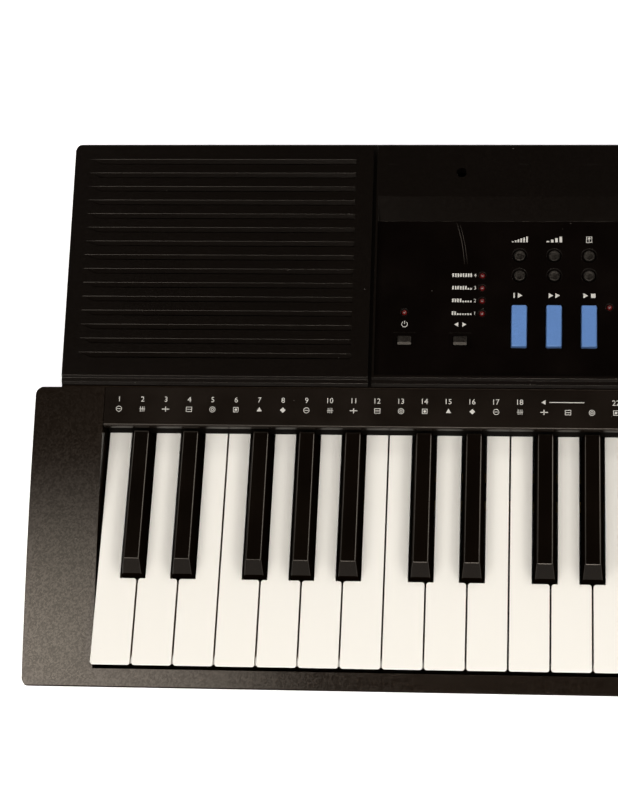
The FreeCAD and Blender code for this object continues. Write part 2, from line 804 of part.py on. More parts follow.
def ledge_marks():
    """Shallow rests along the rear ledge, with a stand hole in place of one on each side."""
    marks = []
    for i in range(LEDGE_MARK_COUNT):
        x = (i - (LEDGE_MARK_COUNT - 1) / 2) * LEDGE_MARK_PITCH
        if abs(abs(x) - STAND_HOLE_X) > LEDGE_MARK_PITCH / 2:
            half_x = LEDGE_MARK_SIZE[0] / 2
            half_v = LEDGE_MARK_SIZE[1] / 2
            v0 = LEDGE_MIDDLE + LEDGE_MARK_V - half_v
            v1 = LEDGE_MIDDLE + LEDGE_MARK_V + half_v
            marks.append(slope_box(x - half_x, x + half_x, v0, v1, -LEDGE_MARK_DEPTH, WALL))
    return marks


def panel_housing():
    block = cover_block(-PANEL_HALF, PANEL_HALF)
    half = PANEL_HALF - PANEL_RIB
    recess = slope_prism(
        [
            (PLATE_FRONT, DECK_DROP),
            (PLATE_FRONT, PLATE_BOTTOM),
            (PLATE_BACK, PLATE_BOTTOM),
            (PLATE_BACK, PLATE_TOP),
            (PLATE_BACK + BAND_DEPTH, 0),
            (PLATE_BACK + BAND_DEPTH, DECK_DROP),
        ],
        -half,
        half,
    )
    low = -DECK_DROP - WALL
    back = SLOPE_LENGTH - COVER_SKIRT - WALL
    under_ledge = slope_prism(
        [
            (PLATE_BACK + COVER_SKIRT, low),
            (PLATE_BACK + COVER_SKIRT, PLATE_BOTTOM - COVER_SKIN / 2),
            (PLATE_BACK + BAND_DEPTH, -COVER_SKIN),
            (back, -COVER_SKIN),
            (back, low),
        ],
        -PANEL_HALF + COVER_SKIRT,
        PANEL_HALF - COVER_SKIRT,
    )
    window = slope_box(
        -half + SEAT_SIDE_RIM,
        half - SEAT_SIDE_RIM,
        PLATE_FRONT + SEAT_RIM,
        PLATE_BACK - SEAT_RIM,
        low,
        0,
    )
    body = block.cut([recess, under_ledge, window])
    adds = [body]
    boss_v = LEDGE_MIDDLE + STAND_HOLE_V
    boss = STAND_HOLE_BOSS
    for side in (-1, 1):
        adds.append(slope_cone(side * STAND_HOLE_X, boss_v, -DECK_DROP, DECK_DROP - COVER_SKIN, boss, boss))
    for x, v in post_places():
        length = PANEL_BOARD_DROP + PLATE_BOTTOM
        adds.append(slope_cone(x, v, -PANEL_BOARD_DROP, length, PANEL_POST_RADIUS, PANEL_POST_RADIUS))
    return fuse(adds).cut(stand_holes() + ledge_marks())


def button_specs():
    """Every button as name, kind, x and v; the kind sets its size, travel and bezel."""
    left = -PANEL_HALF
    right = PANEL_HALF
    specs = [("power_button", "power", left + POWER_X, POWER_V)]
    specs.append(("mode_button", "power", left + MODE_X, POWER_V))
    names = ("main_volume", "accompaniment_volume", "tempo")
    for name, x in zip(names, COLUMN_X):
        for way, v in zip(("down", "up"), ROUND_V):
            specs.append((name + "_" + way + "_button", "round", left + x, v))
    for name, x in zip(("intro_button", "synchro_button", "start_button"), COLUMN_X):
        specs.append((name, "blue", left + x, BLUE_V))
    for x in SELECT_X:
        specs.append(("right_buttons", "blue", right - x, BLUE_V))
    for row in range(NUMBER_ROWS):
        for column in range(NUMBER_COLUMNS):
            x = right - NUMBER_X - column * NUMBER_PITCH[0]
            v = NUMBER_V + row * NUMBER_PITCH[1]
            specs.append(("right_buttons", "number", x, v))
    return specs


def lamp_places():
    """Lamps of the left side, as x from the middle of the case and v."""
    return [(x - PANEL_HALF, v) for x, v in LAMP_PLACES]


def button_size(kind):
    """Plan size, height above the plate and travel of a kind of button."""
    if kind == "power":
        return POWER_SIZE, POWER_HEIGHT, POWER_TRAVEL
    if kind == "blue":
        return BLUE_SIZE, BLUE_HEIGHT, BLUE_TRAVEL
    if kind == "number":
        return NUMBER_SIZE, POWER_HEIGHT, ROUND_TRAVEL
    return (2 * ROUND_RADIUS, 2 * ROUND_RADIUS), ROUND_HEIGHT, ROUND_TRAVEL


def button_shaft(kind, x, v, grow, w0, w1):
    """The straight part of a button, or the hole that it slides in."""
    size = button_size(kind)[0]
    if kind == "round":
        return slope_cone(x, v, w0, w1 - w0, ROUND_RADIUS + grow, ROUND_RADIUS + grow)
    grown = (size[0] + 2 * grow, size[1] + 2 * grow)
    return rounded_block(x, v, grown, BUTTON_CORNER, w0, w1)


def button_cap(kind, x, v, low, top):
    """The part of a button that shows: round top edges, a raked front or a dished middle."""
    size = button_size(kind)[0]
    cap = button_shaft(kind, x, v, 0, low, top)
    origin = at(HOUSING_FRONT, HOUSING_RISE)
    normal = tilted(Part.makeLine(Vector(0, 0, 0), Vector(0, 0, 1))).Edges[0].tangentAt(0)
    rim = []
    for edge in cap.Edges:
        heights = [(point - origin).dot(normal) for point in edge.discretize(3)]
        if all(abs(height - top) < TOLERANCE for height in heights):
            rim.append(edge)
    cap = cap.makeFillet(BUTTON_EDGE, rim)
    if kind == "power":
        front = v - size[1] / 2
        flat = front + POWER_RAKE_RUN
        over = [(front, top - POWER_RAKE), (flat, top), (flat, top + OVERCUT), (front, top + OVERCUT)]
        cap = cap.cut(slope_prism(over, x - size[0], x + size[0]))
    if kind == "round":
        reach = ROUND_RADIUS - ROUND_DISH_RIM
        dish = (reach ** 2 + ROUND_DISH ** 2) / (2 * ROUND_DISH)
        cap = cap.cut(tilted(Part.makeSphere(dish, Vector(x, v, top + dish - ROUND_DISH))))
    return cap


def button(kind, x, v):
    """Cap through the plate, flange under it and a stem down to its switch."""
    height, travel = button_size(kind)[1:]
    flange_top = PLATE_BOTTOM - FLANGE_GAP
    flange_low = flange_top - FLANGE_THICKNESS
    switch_top = -PANEL_BOARD_DROP + SWITCH_HEIGHT
    stem_low = switch_top + travel + FLANGE_GAP
    cap = button_cap(kind, x, v, flange_low, PLATE_TOP + height)
    flange = button_shaft(kind, x, v, BUTTON_FLANGE, flange_low, flange_top)
    stem = slope_cone(x, v, stem_low, flange_low - stem_low, STEM_RADIUS, STEM_RADIUS)
    return fuse([cap, flange, stem])


def button_bezel(kind, x, v):
    """Sunk rim round a button."""
    low = PLATE_TOP - BEZEL_DEPTH
    if kind == "round":
        return slope_cone(x, v, low, BEZEL_DEPTH, ROUND_RADIUS + BUTTON_CLEARANCE, ROUND_BEZEL)
    size = button_size(kind)[0]
    bezel = POWER_BEZEL
    if kind != "power":
        bezel = (size[0] + 2 * BLUE_BEZEL_MARGIN, size[1] + 2 * BLUE_BEZEL_MARGIN)
    return rounded_block(x, v, bezel, BUTTON_CORNER, low, PLATE_TOP)


def lamp_hole(x, v):
    radius = LAMP_RADIUS + LAMP_HOLE_GAP
    return [
        slope_cone(x, v, PLATE_BOTTOM, PLATE_THICKNESS, radius, radius),
        slope_cone(x, v, PLATE_TOP - BEZEL_DEPTH, BEZEL_DEPTH, radius, LAMP_RIM),
    ]


def control_plate():
    half = PANEL_HALF - PANEL_RIB - PLATE_GAP
    front = PLATE_FRONT + PLATE_GAP
    plate = slope_box(-half, half, front, PLATE_BACK - PLATE_GAP, PLATE_BOTTOM, PLATE_TOP)
    cuts = []
    for name, kind, x, v in button_specs():
        cuts.append(button_shaft(kind, x, v, BUTTON_CLEARANCE, PLATE_BOTTOM, PLATE_TOP))
        cuts.append(button_bezel(kind, x, v))
    for x, v in lamp_places():
        cuts += lamp_hole(x, v)
    return plate.cut(cuts)


def lamp(x, v):
    """Domed lamp with a collar under the plate and a lead down to the board."""
    collar_low = PLATE_BOTTOM - LAMP_RADIUS
    barrel_top = PLATE_TOP + LAMP_RISE - LAMP_RADIUS
    barrel = slope_cone(x, v, collar_low, barrel_top - collar_low, LAMP_RADIUS, LAMP_RADIUS)
    dome = tilted(Part.makeSphere(LAMP_RADIUS, Vector(x, v, barrel_top)))
    collar = slope_cone(x, v, collar_low, LAMP_RADIUS, LAMP_COLLAR, LAMP_COLLAR)
    lead = slope_cone(x, v, -PANEL_BOARD_DROP, PANEL_BOARD_DROP + collar_low, LAMP_LEAD, LAMP_LEAD)
    return fuse([barrel, dome, collar, lead])


def panel_board():
    margin = DECK_FLANGE + PANEL_POST_GAP
    half = PANEL_HALF - margin
    low = -PANEL_BOARD_DROP - BOARD
    adds = [slope_box(-half, half, margin, PLATE_BACK, low, -PANEL_BOARD_DROP)]
    for name, kind, x, v in button_specs():
        top = -PANEL_BOARD_DROP + SWITCH_HEIGHT
        reach = SWITCH_SIZE / 2
        adds.append(slope_box(x - reach, x + reach, v - reach, v + reach, -PANEL_BOARD_DROP, top))
    return fuse(adds)


# Keys

def key_x(x):
    """X of the case from x measured along the keys from the left."""
    return x - KEYBED / 2


def note_name(index):
    return NATURALS[index % len(NATURALS)]


def octave_of(index):
    return FIRST_OCTAVE + index // len(NATURALS)


def black_centre(index):
    """Middle of the black key to the right of a white key, or None where there is none."""
    note = note_name(index)
    if note not in BLACK_SHIFT or index < 0 or index >= WHITE_COUNT - 1:
        return None
    return key_x((index + 1) * WHITE_PITCH + BLACK_SHIFT[note])


def white_span(index):
    """Front left and right edges of a white key, then those of its narrow part."""
    left = key_x(index * WHITE_PITCH + WHITE_GAP / 2)
    right = key_x((index + 1) * WHITE_PITCH - WHITE_GAP / 2)
    reach = BLACK_WIDTH / 2 + BLACK_GAP
    black_left = black_centre(index - 1)
    black_right = black_centre(index)
    narrow_left = left if black_left is None else black_left + reach
    narrow_right = right if black_right is None else black_right - reach
    return left, right, narrow_left, narrow_right


def white_outline(span, inset, front):
    """Plan of a white key, with notches beside the black keys and every face moved in."""
    left, right, narrow_left, narrow_right = span
    corner = max(WHITE_CORNER - inset, 0)
    notch = KEY_Y + NOTCH_FRONT - inset
    back = KEY_Y + WHITE_LENGTH - inset
    corners = [(left + inset, KEY_Y + front, corner), (right - inset, KEY_Y + front, corner)]
    if narrow_right < right:
        corners += [(right - inset, notch, corner), (narrow_right - inset, notch, 0)]
    corners += [(narrow_right - inset, back, 0), (narrow_left + inset, back, 0)]
    if narrow_left > left:
        corners += [(narrow_left + inset, notch, 0), (left + inset, notch, corner)]
    return corners


def key_tail(middle, start):
    """Arm behind a key, with a boss bored for the pivot rod."""
    x0 = middle - TAIL_WIDTH / 2
    x1 = middle + TAIL_WIDTH / 2
    low = -PIVOT_DROP - TAIL_HEIGHT / 2
    arm = key_box(x0, x1, start, PIVOT_Y, low, low + TAIL_HEIGHT)
    boss = rod_x(PIVOT_Y, -PIVOT_DROP, TAIL_BOSS_RADIUS, x0, x1)
    return [arm, boss]


def pivot_bore(middle):
    reach = TAIL_WIDTH
    return rod_x(PIVOT_Y, -PIVOT_DROP, ROD_RADIUS + ROD_CLEARANCE, middle - reach, middle + reach)


def stem_low(turn):
    """Lowest point of a key's contact stem, just clear of the rubber when the key is down."""
    return RUBBER_TOP_Z + STEM_CLEARANCE + (PIVOT_Y - STEM_Y) * math.tan(turn)


def key_stem(middle, top, turn):
    half = STEM_SIZE / 2
    return key_box(middle - half, middle + half, STEM_Y - half, STEM_Y + half, stem_low(turn), top)


def white_key(index):
    span = white_span(index)
    middle = (span[2] + span[3]) / 2
    body = rounded_prism(white_outline(span, 0, 0), KEY_Z - WHITE_SKIRT, KEY_Z)
    front = LIP_LENGTH + WHITE_SKIN
    hollow = rounded_prism(white_outline(span, WHITE_SKIN, front), KEY_Z - HIGH, KEY_Z - WHITE_SKIN)
    undercut = prism_x(
        [
            (-WHITE_GAP, -LIP_EDGE),
            (0, -LIP_EDGE),
            (LIP_LENGTH, -LIP_DEPTH),
            (LIP_LENGTH, -HIGH),
            (-WHITE_GAP, -HIGH),
        ],
        -FAR,
        FAR,
    )
    shell = body.cut([hollow, undercut])
    apron = key_box(span[0], span[1], LIP_LENGTH, front, -APRON_DROP, -LIP_DEPTH)
    stem = key_stem(middle, -WHITE_SKIN / 2, WHITE_TURN)
    return fuse([shell, apron, stem] + key_tail(middle, WHITE_LENGTH)).cut(pivot_bore(middle))


def black_key(middle):
    """A hollow black key: upright lip, raked front and sides that lean in to the crest."""
    def rectangle(half, z):
        corners = [(-half, BLACK_FRONT), (half, BLACK_FRONT), (half, BLACK_BACK), (-half, BLACK_BACK)]
        points = [at(y, z, middle + x) for x, y in corners]
        return Part.makePolygon(points + points[:1])

    crest_y = BLACK_FRONT + BLACK_FRONT_RAKE
    above = BLACK_HEIGHT + OVERCUT
    rake = prism_x(
        [
            (BLACK_FRONT - OVERCUT, BLACK_LIP),
            (BLACK_FRONT, BLACK_LIP),
            (crest_y, BLACK_HEIGHT),
            (crest_y, above),
            (BLACK_FRONT - OVERCUT, above),
        ],
        -FAR,
        FAR,
    )
    base = rectangle(BLACK_WIDTH / 2, 0)
    crest = rectangle(BLACK_TOP_WIDTH / 2, BLACK_HEIGHT)
    upper = Part.makeLoft([base, crest], True, True).cut(rake)
    lip_z = KEY_Z + BLACK_LIP
    crest_z = KEY_Z + BLACK_HEIGHT
    back_y = KEY_Y + BLACK_BACK
    edges = []
    for edge in upper.Edges:
        ends = edge.BoundBox
        on_crest = abs(ends.ZMin - crest_z) < TOLERANCE and ends.YMin < back_y - TOLERANCE
        on_rake = abs(ends.ZMin - lip_z) < TOLERANCE and abs(ends.ZMax - crest_z) < TOLERANCE
        if on_crest or on_rake:
            edges.append(edge)
    upper = upper.makeFillet(BLACK_ROUND, edges)
    half = BLACK_WIDTH / 2
    lower = key_box(middle - half, middle + half, BLACK_FRONT, BLACK_BACK, -BLACK_SKIRT, 0)
    room = BLACK_TOP_WIDTH / 2 - BLACK_SKIN
    hollow = key_box(
        middle - room,
        middle + room,
        crest_y,
        BLACK_BACK - BLACK_SKIN,
        -HIGH,
        BLACK_HEIGHT - 2 * BLACK_SKIN,
    )
    shell = fuse([upper, lower]).cut(hollow)
    stem = key_stem(middle, BLACK_HEIGHT - BLACK_SKIN, BLACK_TURN)
    return fuse([shell, stem] + key_tail(middle, BLACK_BACK)).cut(pivot_bore(middle))


# Inside the case

def pivot_rib_xs():
    """Ribs stand at both ends and beside each pair of white keys with no black key between."""
    xs = [key_x(0), key_x(KEYBED)]
    for index in range(WHITE_COUNT - 1):
        if black_centre(index) is None:
            xs.append(key_x((index + 1) * WHITE_PITCH))
    return sorted(xs)


def key_chassis():
    half = BED_HALF - CHASSIS_SIDE_GAP
    low = -CHASSIS_DROP - CHASSIS_THICKNESS
    adds = [key_box(-half, half, CHASSIS_FRONT, CHASSIS_BACK, low, -CHASSIS_DROP)]
    for x in pivot_rib_xs():
        y0 = PIVOT_Y - PIVOT_RIB_LENGTH / 2
        y1 = PIVOT_Y + PIVOT_RIB_LENGTH / 2
        x0 = max(x - PIVOT_RIB / 2, -half)
        x1 = min(x + PIVOT_RIB / 2, half)
        adds.append(key_box(x0, x1, y0, y1, -CHASSIS_DROP, PIVOT_RIB_CAP - PIVOT_DROP))
    for index in range(WHITE_COUNT):
        left, right = white_span(index)[:2]
        inset = WHITE_SKIN + GUIDE_CLEARANCE
        y0 = GUIDE_Y - GUIDE_LENGTH / 2
        y1 = GUIDE_Y + GUIDE_LENGTH / 2
        adds.append(key_box(left + inset, right - inset, y0, y1, -CHASSIS_DROP, -GUIDE_TOP_DROP))
    rod_hole = rod_x(PIVOT_Y, -PIVOT_DROP, ROD_RADIUS + ROD_CLEARANCE / 2, -FAR, FAR)
    return fuse(adds).cut(rod_hole)


def pivot_rod():
    reach = KEYBED / 2 + PIVOT_RIB / 2
    return rod_x(PIVOT_Y, -PIVOT_DROP, ROD_RADIUS, -reach, reach)


def contact_board():
    half = CONTACT_BOARD_WIDTH / 2
    reach = KEYBED / 2
    return key_box(-reach, reach, STEM_Y - half, STEM_Y + half, -CHASSIS_DROP, BOARD - CHASSIS_DROP)


def contact_rubber():
    low = BOARD - CHASSIS_DROP
    high = RUBBER_TOP_Z
    return prism_x(
        [
            (STEM_Y - RUBBER_BASE / 2, low),
            (STEM_Y + RUBBER_BASE / 2, low),
            (STEM_Y + RUBBER_TOP / 2, high),
            (STEM_Y - RUBBER_TOP / 2, high),
        ],
        -KEYBED / 2,
        KEYBED / 2,
    )


def main_board():
    """Circuit board with its processor, amplifier and two large capacitors."""
    width, depth = MAIN_BOARD_SIZE
    x0 = MAIN_BOARD_X - width / 2
    y1 = BACK_Y - MAIN_BOARD_BACK
    y0 = y1 - depth
    low = FLOOR_Z + STANDOFF
    top = low + BOARD
    adds = [box(x0, x0 + width, y0, y1, low, top)]
    for size, inset in ((PROCESSOR_SIZE, PROCESSOR_INSET), (AMPLIFIER_SIZE, AMPLIFIER_INSET)):
        corner = Vector(x0 + inset[0], y0 + inset[1], top)
        adds.append(Part.makeBox(size[0], size[1], size[2], corner))
    for i in range(2):
        foot = Vector(x0 + CAPACITOR_INSET[0] + i * CAPACITOR_PITCH, y0 + CAPACITOR_INSET[1], top)
        adds.append(Part.makeCylinder(CAPACITOR_RADIUS, CAPACITOR_HEIGHT, foot))
    return fuse(adds)


def battery_box():
    """Walls and roof of the battery bay; the door closes it from below."""
    half = BAY_LENGTH / 2
    front = BACK_Y - DOOR_DEPTH - BAY_WALL
    back = BACK_Y - WALL - JOINT_GAP - BAY_WALL
    roof = FLOOR_Z + BAY_HEIGHT
    outside = half + BAY_WALL
    shell = box(-outside, outside, front - BAY_WALL, back + BAY_WALL, FLOOR_Z, roof + BAY_WALL)
    bay = box(-half, half, front, back, 0, roof)
    over_door = FLOOR_Z + TONGUE_GAP + TONGUE_THICKNESS + DOOR_GAP
    passage = box(-half, half, back - BAY_WALL, BACK_Y, 0, over_door)
    return shell.cut([bay, passage, rear_chamfer_clearance()])


def rear_chamfer_clearance():
    """The space behind the bay that the sloped foot of the back wall needs."""
    reach = BASE_CHAMFER + WALL
    return box(-FAR, FAR, BACK_Y - reach, BACK_Y, 0, FOOT_HEIGHT + reach)


def battery_door(outer, inner):
    """A corner of the case that slides out backwards on two tongues."""
    panel = outer.cut(inner).common(door_cut(0))
    half = DOOR_LENGTH / 2
    y0 = BACK_Y - DOOR_DEPTH + DOOR_GAP
    y1 = BACK_Y - TONGUE_BACK
    top = FLOOR_Z + TONGUE_GAP + TONGUE_THICKNESS
    adds = [panel]
    for side in (-1, 1):
        root = sorted([side * (half - TONGUE_ROOT), side * half])
        tip = sorted([side * half, side * (half + TONGUE_REACH)])
        adds.append(box(root[0], root[1], y0, y1, FLOOR_Z - WALL / 2, top))
        adds.append(box(tip[0], tip[1], y0, y1, FLOOR_Z + TONGUE_GAP, top))
    grips = []
    for i in range(GRIP_COUNT):
        groove_y = BACK_Y - GRIP_BACK - i * GRIP_PITCH
        reach = GRIP_SIZE[0] / 2
        grips.append(box(-reach, reach, groove_y - GRIP_SIZE[1], groove_y, 0, FOOT_HEIGHT + GRIP_DEPTH))
    return fuse(adds).cut(grips)


def jack_collar(x, grow):
    length = WALL + JACK_COLLAR_GAP
    start = at(CASE_BACK - WALL, -JACK_DROP, x)
    return Part.makeCylinder(JACK_COLLAR + grow, length, start, Vector(0, 1, 0))


def rear_jack(x, radius):
    """Socket block on the inside of the back wall, with its collar in the wall."""
    width, depth, height = JACK_BODY
    back = CASE_BACK - WALL
    low = -JACK_DROP - height / 2
    block = key_box(x - width / 2, x + width / 2, back - depth, back, low, low + height)
    collar = Part.makeCylinder(JACK_COLLAR, WALL, at(back, -JACK_DROP, x), Vector(0, 1, 0))
    bore = Part.makeCylinder(radius, JACK_DEPTH, at(CASE_BACK, -JACK_DROP, x), Vector(0, -1, 0))
    return fuse([block, collar]).cut(bore)


def feet():
    front = KEY_Y + BASE_SETBACK + FOOT_INSET
    back = BACK_Y - BASE_CHAMFER - FOOT_INSET
    places = [(side * (REAR_HALF - FOOT_INSET), y) for side in (-1, 1) for y in (front, back)]
    places.append((0, front))
    return [Part.makeCylinder(FOOT_RADIUS, FOOT_HEIGHT, Vector(x, y, 0)) for x, y in places]


def case_screw(x, y):
    seat_z = FOOT_HEIGHT + SCREW_SEAT
    head = Part.makeCylinder(SCREW_HEAD_RADIUS, SCREW_HEAD, Vector(x, y, seat_z - SCREW_HEAD))
    shank = Part.makeCylinder(SCREW_RADIUS, SEAM_Z + SCREW_GRIP - seat_z, Vector(x, y, seat_z))
    return fuse([head, shank])


# The whole keyboard

def collect():
    """Every node by name, as a list of solids."""
    outer = envelope(0)
    inner = envelope(WALL)
    nodes = {
        "lower_case": [lower_case(outer, inner)],
        "upper_case": [upper_case(outer, inner)],
        "left_speaker_cover": [speaker_cover(-1)],
        "right_speaker_cover": [speaker_cover(1)],
        "panel_housing": [panel_housing()],
        "control_plate": [control_plate()],
        "key_strip": [key_strip()],
        "key_chassis": [key_chassis()],
        "pivot_rod": [pivot_rod()],
        "contact_board": [contact_board()],
        "contact_rubber": [contact_rubber()],
        "main_board": [main_board()],
        "panel_board": [panel_board()],
        "speaker_drivers": [speaker_driver(-1), speaker_driver(1)],
        "battery_box": [battery_box()],
        "battery_door": [battery_door(outer, inner)],
        "rear_jacks": [rear_jack(x, radius) for x, radius in JACKS],
        "status_lamps": [lamp(x, v) for x, v in lamp_places()],
        "rubber_feet": feet(),
        "case_screws": [case_screw(x, y) for x, y in screw_places()],
    }
    for name, kind, x, v in button_specs():
        nodes.setdefault(name, []).append(button(kind, x, v))
    for index in range(WHITE_COUNT):
        octave = octave_of(index)
        single = octave < FIRST_OCTAVE + SINGLE_OCTAVES
        group = min(octave, octave_of(WHITE_COUNT - 2))
        note = note_name(index)
        white_name = "white_keys_octave_%d" % group
        black_name = "black_keys_octave_%d" % group
        if single:
            white_name = "white_key_%s%d" % (note, octave)
            black_name = "black_key_%s_sharp%d" % (note, octave)
        nodes.setdefault(white_name, []).append(white_key(index))
        middle = black_centre(index)
        if middle is not None:
            nodes.setdefault(black_name, []).append(black_key(middle))
    return nodes


def main():
    os.makedirs("parts", exist_ok=True)
    for name, solids in collect().items():
        shape = solids[0] if len(solids) == 1 else Part.makeCompound(solids)
        shape.exportStep("parts/" + name + ".step")
        print(name, len(shape.Solids), shape.isValid(), round(shape.Volume))


main()
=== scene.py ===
import json
import math

import bmesh
import bpy
from mathutils import Matrix, Vector


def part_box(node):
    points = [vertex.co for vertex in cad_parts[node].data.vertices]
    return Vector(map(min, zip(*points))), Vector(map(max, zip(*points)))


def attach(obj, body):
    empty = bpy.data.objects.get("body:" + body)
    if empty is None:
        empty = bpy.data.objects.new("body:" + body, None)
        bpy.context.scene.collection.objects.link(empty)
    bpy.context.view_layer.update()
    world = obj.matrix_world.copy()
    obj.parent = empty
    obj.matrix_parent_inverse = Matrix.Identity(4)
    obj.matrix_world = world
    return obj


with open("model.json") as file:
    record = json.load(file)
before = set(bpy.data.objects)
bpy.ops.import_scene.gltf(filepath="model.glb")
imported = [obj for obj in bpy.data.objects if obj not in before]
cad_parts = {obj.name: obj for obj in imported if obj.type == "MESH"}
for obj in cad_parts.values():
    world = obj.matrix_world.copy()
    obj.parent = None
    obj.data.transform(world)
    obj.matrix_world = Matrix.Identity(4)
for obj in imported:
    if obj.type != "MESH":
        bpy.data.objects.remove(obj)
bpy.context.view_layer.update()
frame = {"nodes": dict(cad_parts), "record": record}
nodes = frame["nodes"]
MM = 0.001

# Camera, from the lines of the keys in the photograph, with the focal length for a 36 mm tall frame
CAMERA_PLACE = Vector((-0.09528, -0.66398, 1.39217))
CAMERA_RIGHT = Vector((0.9963, 0.0461, -0.0725))
CAMERA_UP = Vector((-0.0085, 0.8922, 0.4515))
CAMERA_LENS = 115.32
CAMERA_FRAME = 36.0
CAMERA_NEAR = 0.01

# Soft boxes overhead that shine straight down, as middle, size and power
LIGHT_COLOUR = (1.0, 0.955, 0.89)
LIGHTS = {
    "left_softbox": ((-1.15, -0.90, 1.80), (1.42, 1.90), 110.0),
    "right_softbox": ((1.14, -0.85, 1.80), (1.42, 1.90), 118.0),
    "front_softbox": ((0.0, -1.55, 1.80), (1.20, 0.90), 104.0),
    "rear_left_softbox": ((-1.30, 1.00, 1.80), (1.00, 0.80), 13.0),
    "rear_right_softbox": ((1.15, 1.00, 1.80), (1.30, 0.80), 40.0),
}

# Brightness left at the side rims of a soft box, and how steeply it fades to its front and rear rims
LIGHT_EDGE = 0.25
LIGHT_FALL = 1.5

# Sky, bright low down and dark overhead, with the heights between which it fades
SKY_COLOUR = (1.0, 0.97, 0.93, 1.0)
SKY_HORIZON = 0.40
SKY_ZENITH = 0.02
SKY_FADE = (0.30, 0.52)

# White floor that also glows of itself
FLOOR_SIZE = 8.0
FLOOR_COLOUR = (0.9, 0.9, 0.9)
FLOOR_ROUGHNESS = 0.9
FLOOR_GLOW = 0.60
FLOOR_GLOW_COLOUR = (0.97, 0.98, 1.0)

# Specular level and tint of reflections on common plastic and on the black plastics
PLAIN_SPECULAR = 0.5
PLAIN_TINT = (1.0, 1.0, 1.0)
DARK_SPECULAR = 0.35
DARK_TINT = (1.0, 0.91, 0.82)

# Parts of a face's normal, upward or sideways, between which its shine dims as painted shade, or the
# painted shade on the sides of the white keys comes in
GRAIN_UPWARD = (0.92, 0.985)
GLOSS_UPWARD = (0.3, 0.5)
GLOSS_SIDEWAYS = (0.6, 0.9)
SIDE_SHADE_SIDEWAYS = (0.8, 0.97)

# Dust on each kind of plastic, as spacing and radius of its specks
DUST_COLOUR = (0.35, 0.33, 0.30)
GRAIN_DUST = (14 * MM, 0.35 * MM)
GLOSS_DUST = (11 * MM, 0.3 * MM)
KEY_DUST = (17 * MM, 0.3 * MM)
KEY_DUST_SHARE = 0.12
KEY_DUST_COLOUR = (0.45, 0.38, 0.30)
# Painted shade on the sides of the white keys, in the gaps between keys
KEY_SIDE_SHADE_COLOUR = (0.22, 0.15, 0.10)

# Size of cloudy patches, fine ripples and other unevenness in the finishes
GRAIN_CLOUD = 60 * MM
GLOSS_HAZE = 35 * MM
GLOSS_RIPPLE = 0.9 * MM
GLOSS_RIPPLE_DEPTH = 0.002 * MM
KEY_CLOUD = 60 * MM
LENS_RIPPLE = 0.8 * MM
BRUSH_LINE = 0.3 * MM
BRUSH_STRETCH = (1.0, 0.05, 1.0)
BRUSH_DEPTH = 0.005 * MM
BOARD_CLOUD = 4 * MM
BOARD_TRACKS = 120.0
BOARD_TRACK_BEND = 6.0
INK_WEAR = 1.2 * MM
NOISE_ROUGHNESS = 0.55

# Darkest and lightest tone of each finish, as shares of its colour
GRAIN_TONES = (0.8, 1.2)
GLOSS_TONES = (0.85, 1.25)
METAL_TONES = (0.75, 1.0)
INK_TONES = (0.8, 1.0)
KEY_WARMTH = (0.997, 0.993, 0.985)

# Least and greatest roughness of a finish, the first as shares of its own roughness
ROUGH_SPREAD = (0.8, 1.3)
LENS_ROUGHNESS = (0.08, 0.16)
BOARD_ROUGHNESS = (0.35, 0.55)
INK_ROUGHNESS = (0.45, 0.6)

# Sockets of a mix node that carry colours
MIX_COLOURS_IN = (6, 7)
MIX_COLOUR_OUT = 2

# Rounding of the edges of each finish
EDGE_WIDTH = {
    "case_plastic": 0.7 * MM,
    "cover_plastic": 0.40 * MM,
    "panel_gloss": 0.30 * MM,
    "strip_gloss": 0.25 * MM,
    "key_white": 0.30 * MM,
    "key_black": 1.0 * MM,
    "jack_plastic": 0.25 * MM,
    "soft_rubber": 0.40 * MM,
    "button_blue": 0.50 * MM,
}

# Finishes whose rounded edges get a lighter, shinier copy of the finish as a painted highlight, with the
# finish of those edges
EDGE_HIGHLIGHT_FINISH = {
    "cover_plastic": "cover_edge_highlight",
    "key_black": "key_edge_highlight",
    "button_blue": "blue_edge_highlight",
    "panel_gloss": "panel_edge_highlight",
}

# Steps across a rounded edge, and the least corner that is rounded
EDGE_STEPS = 3
EDGE_CORNER = math.radians(25)

# Corners below which faces are joined into one, and above which shading stays sharp
FLAT_CORNER = math.radians(0.5)
SMOOTH_CORNER = math.radians(17)

# Distance within which two points are the same, and the least upward part of the normal of a node's top
SAME_POINT = 1e-6
TOP_NORMAL = 0.9

# Printed ink, its strokes, and the share of a letter's size that a number takes
INK_LIFT = 0.02 * MM
INK_THICKNESS = 0.03 * MM
STROKE = 0.35 * MM
HEAVY_STROKE = 1.4 * STROKE
CAPITAL_SHARE = 0.73

# Marks along the key strip, in two rows measured up the slope from its front edge
MARK_FIRST = -333.2 * MM
MARK_PITCH = 13.7 * MM
MARK_COUNT = 49
NUMBER_ROW = 16.1 * MM
SYMBOL_ROW = 10.1 * MM
NUMBER_HEIGHT = 3.3 * MM
SYMBOL_SIZE = 4.4 * MM
SYMBOL_STEP = 3

# Arrow in the row of numbers, and how many numbers it takes the place of
ARROW_INDEX = 18
ARROW_NUMBERS = 3
ARROW_LENGTH = 20.0 * MM
ARROW_GAP = 3.0 * MM
ARROW_HEAD = 1.6 * MM

# How far up the slope a mark on the control plate lies from the button that it names
KNOB_MARK = 9.5 * MM
BLUE_MARK = 18.6 * MM
POWER_MARK = 9.4 * MM
DIGIT_MARK = 5.6 * MM

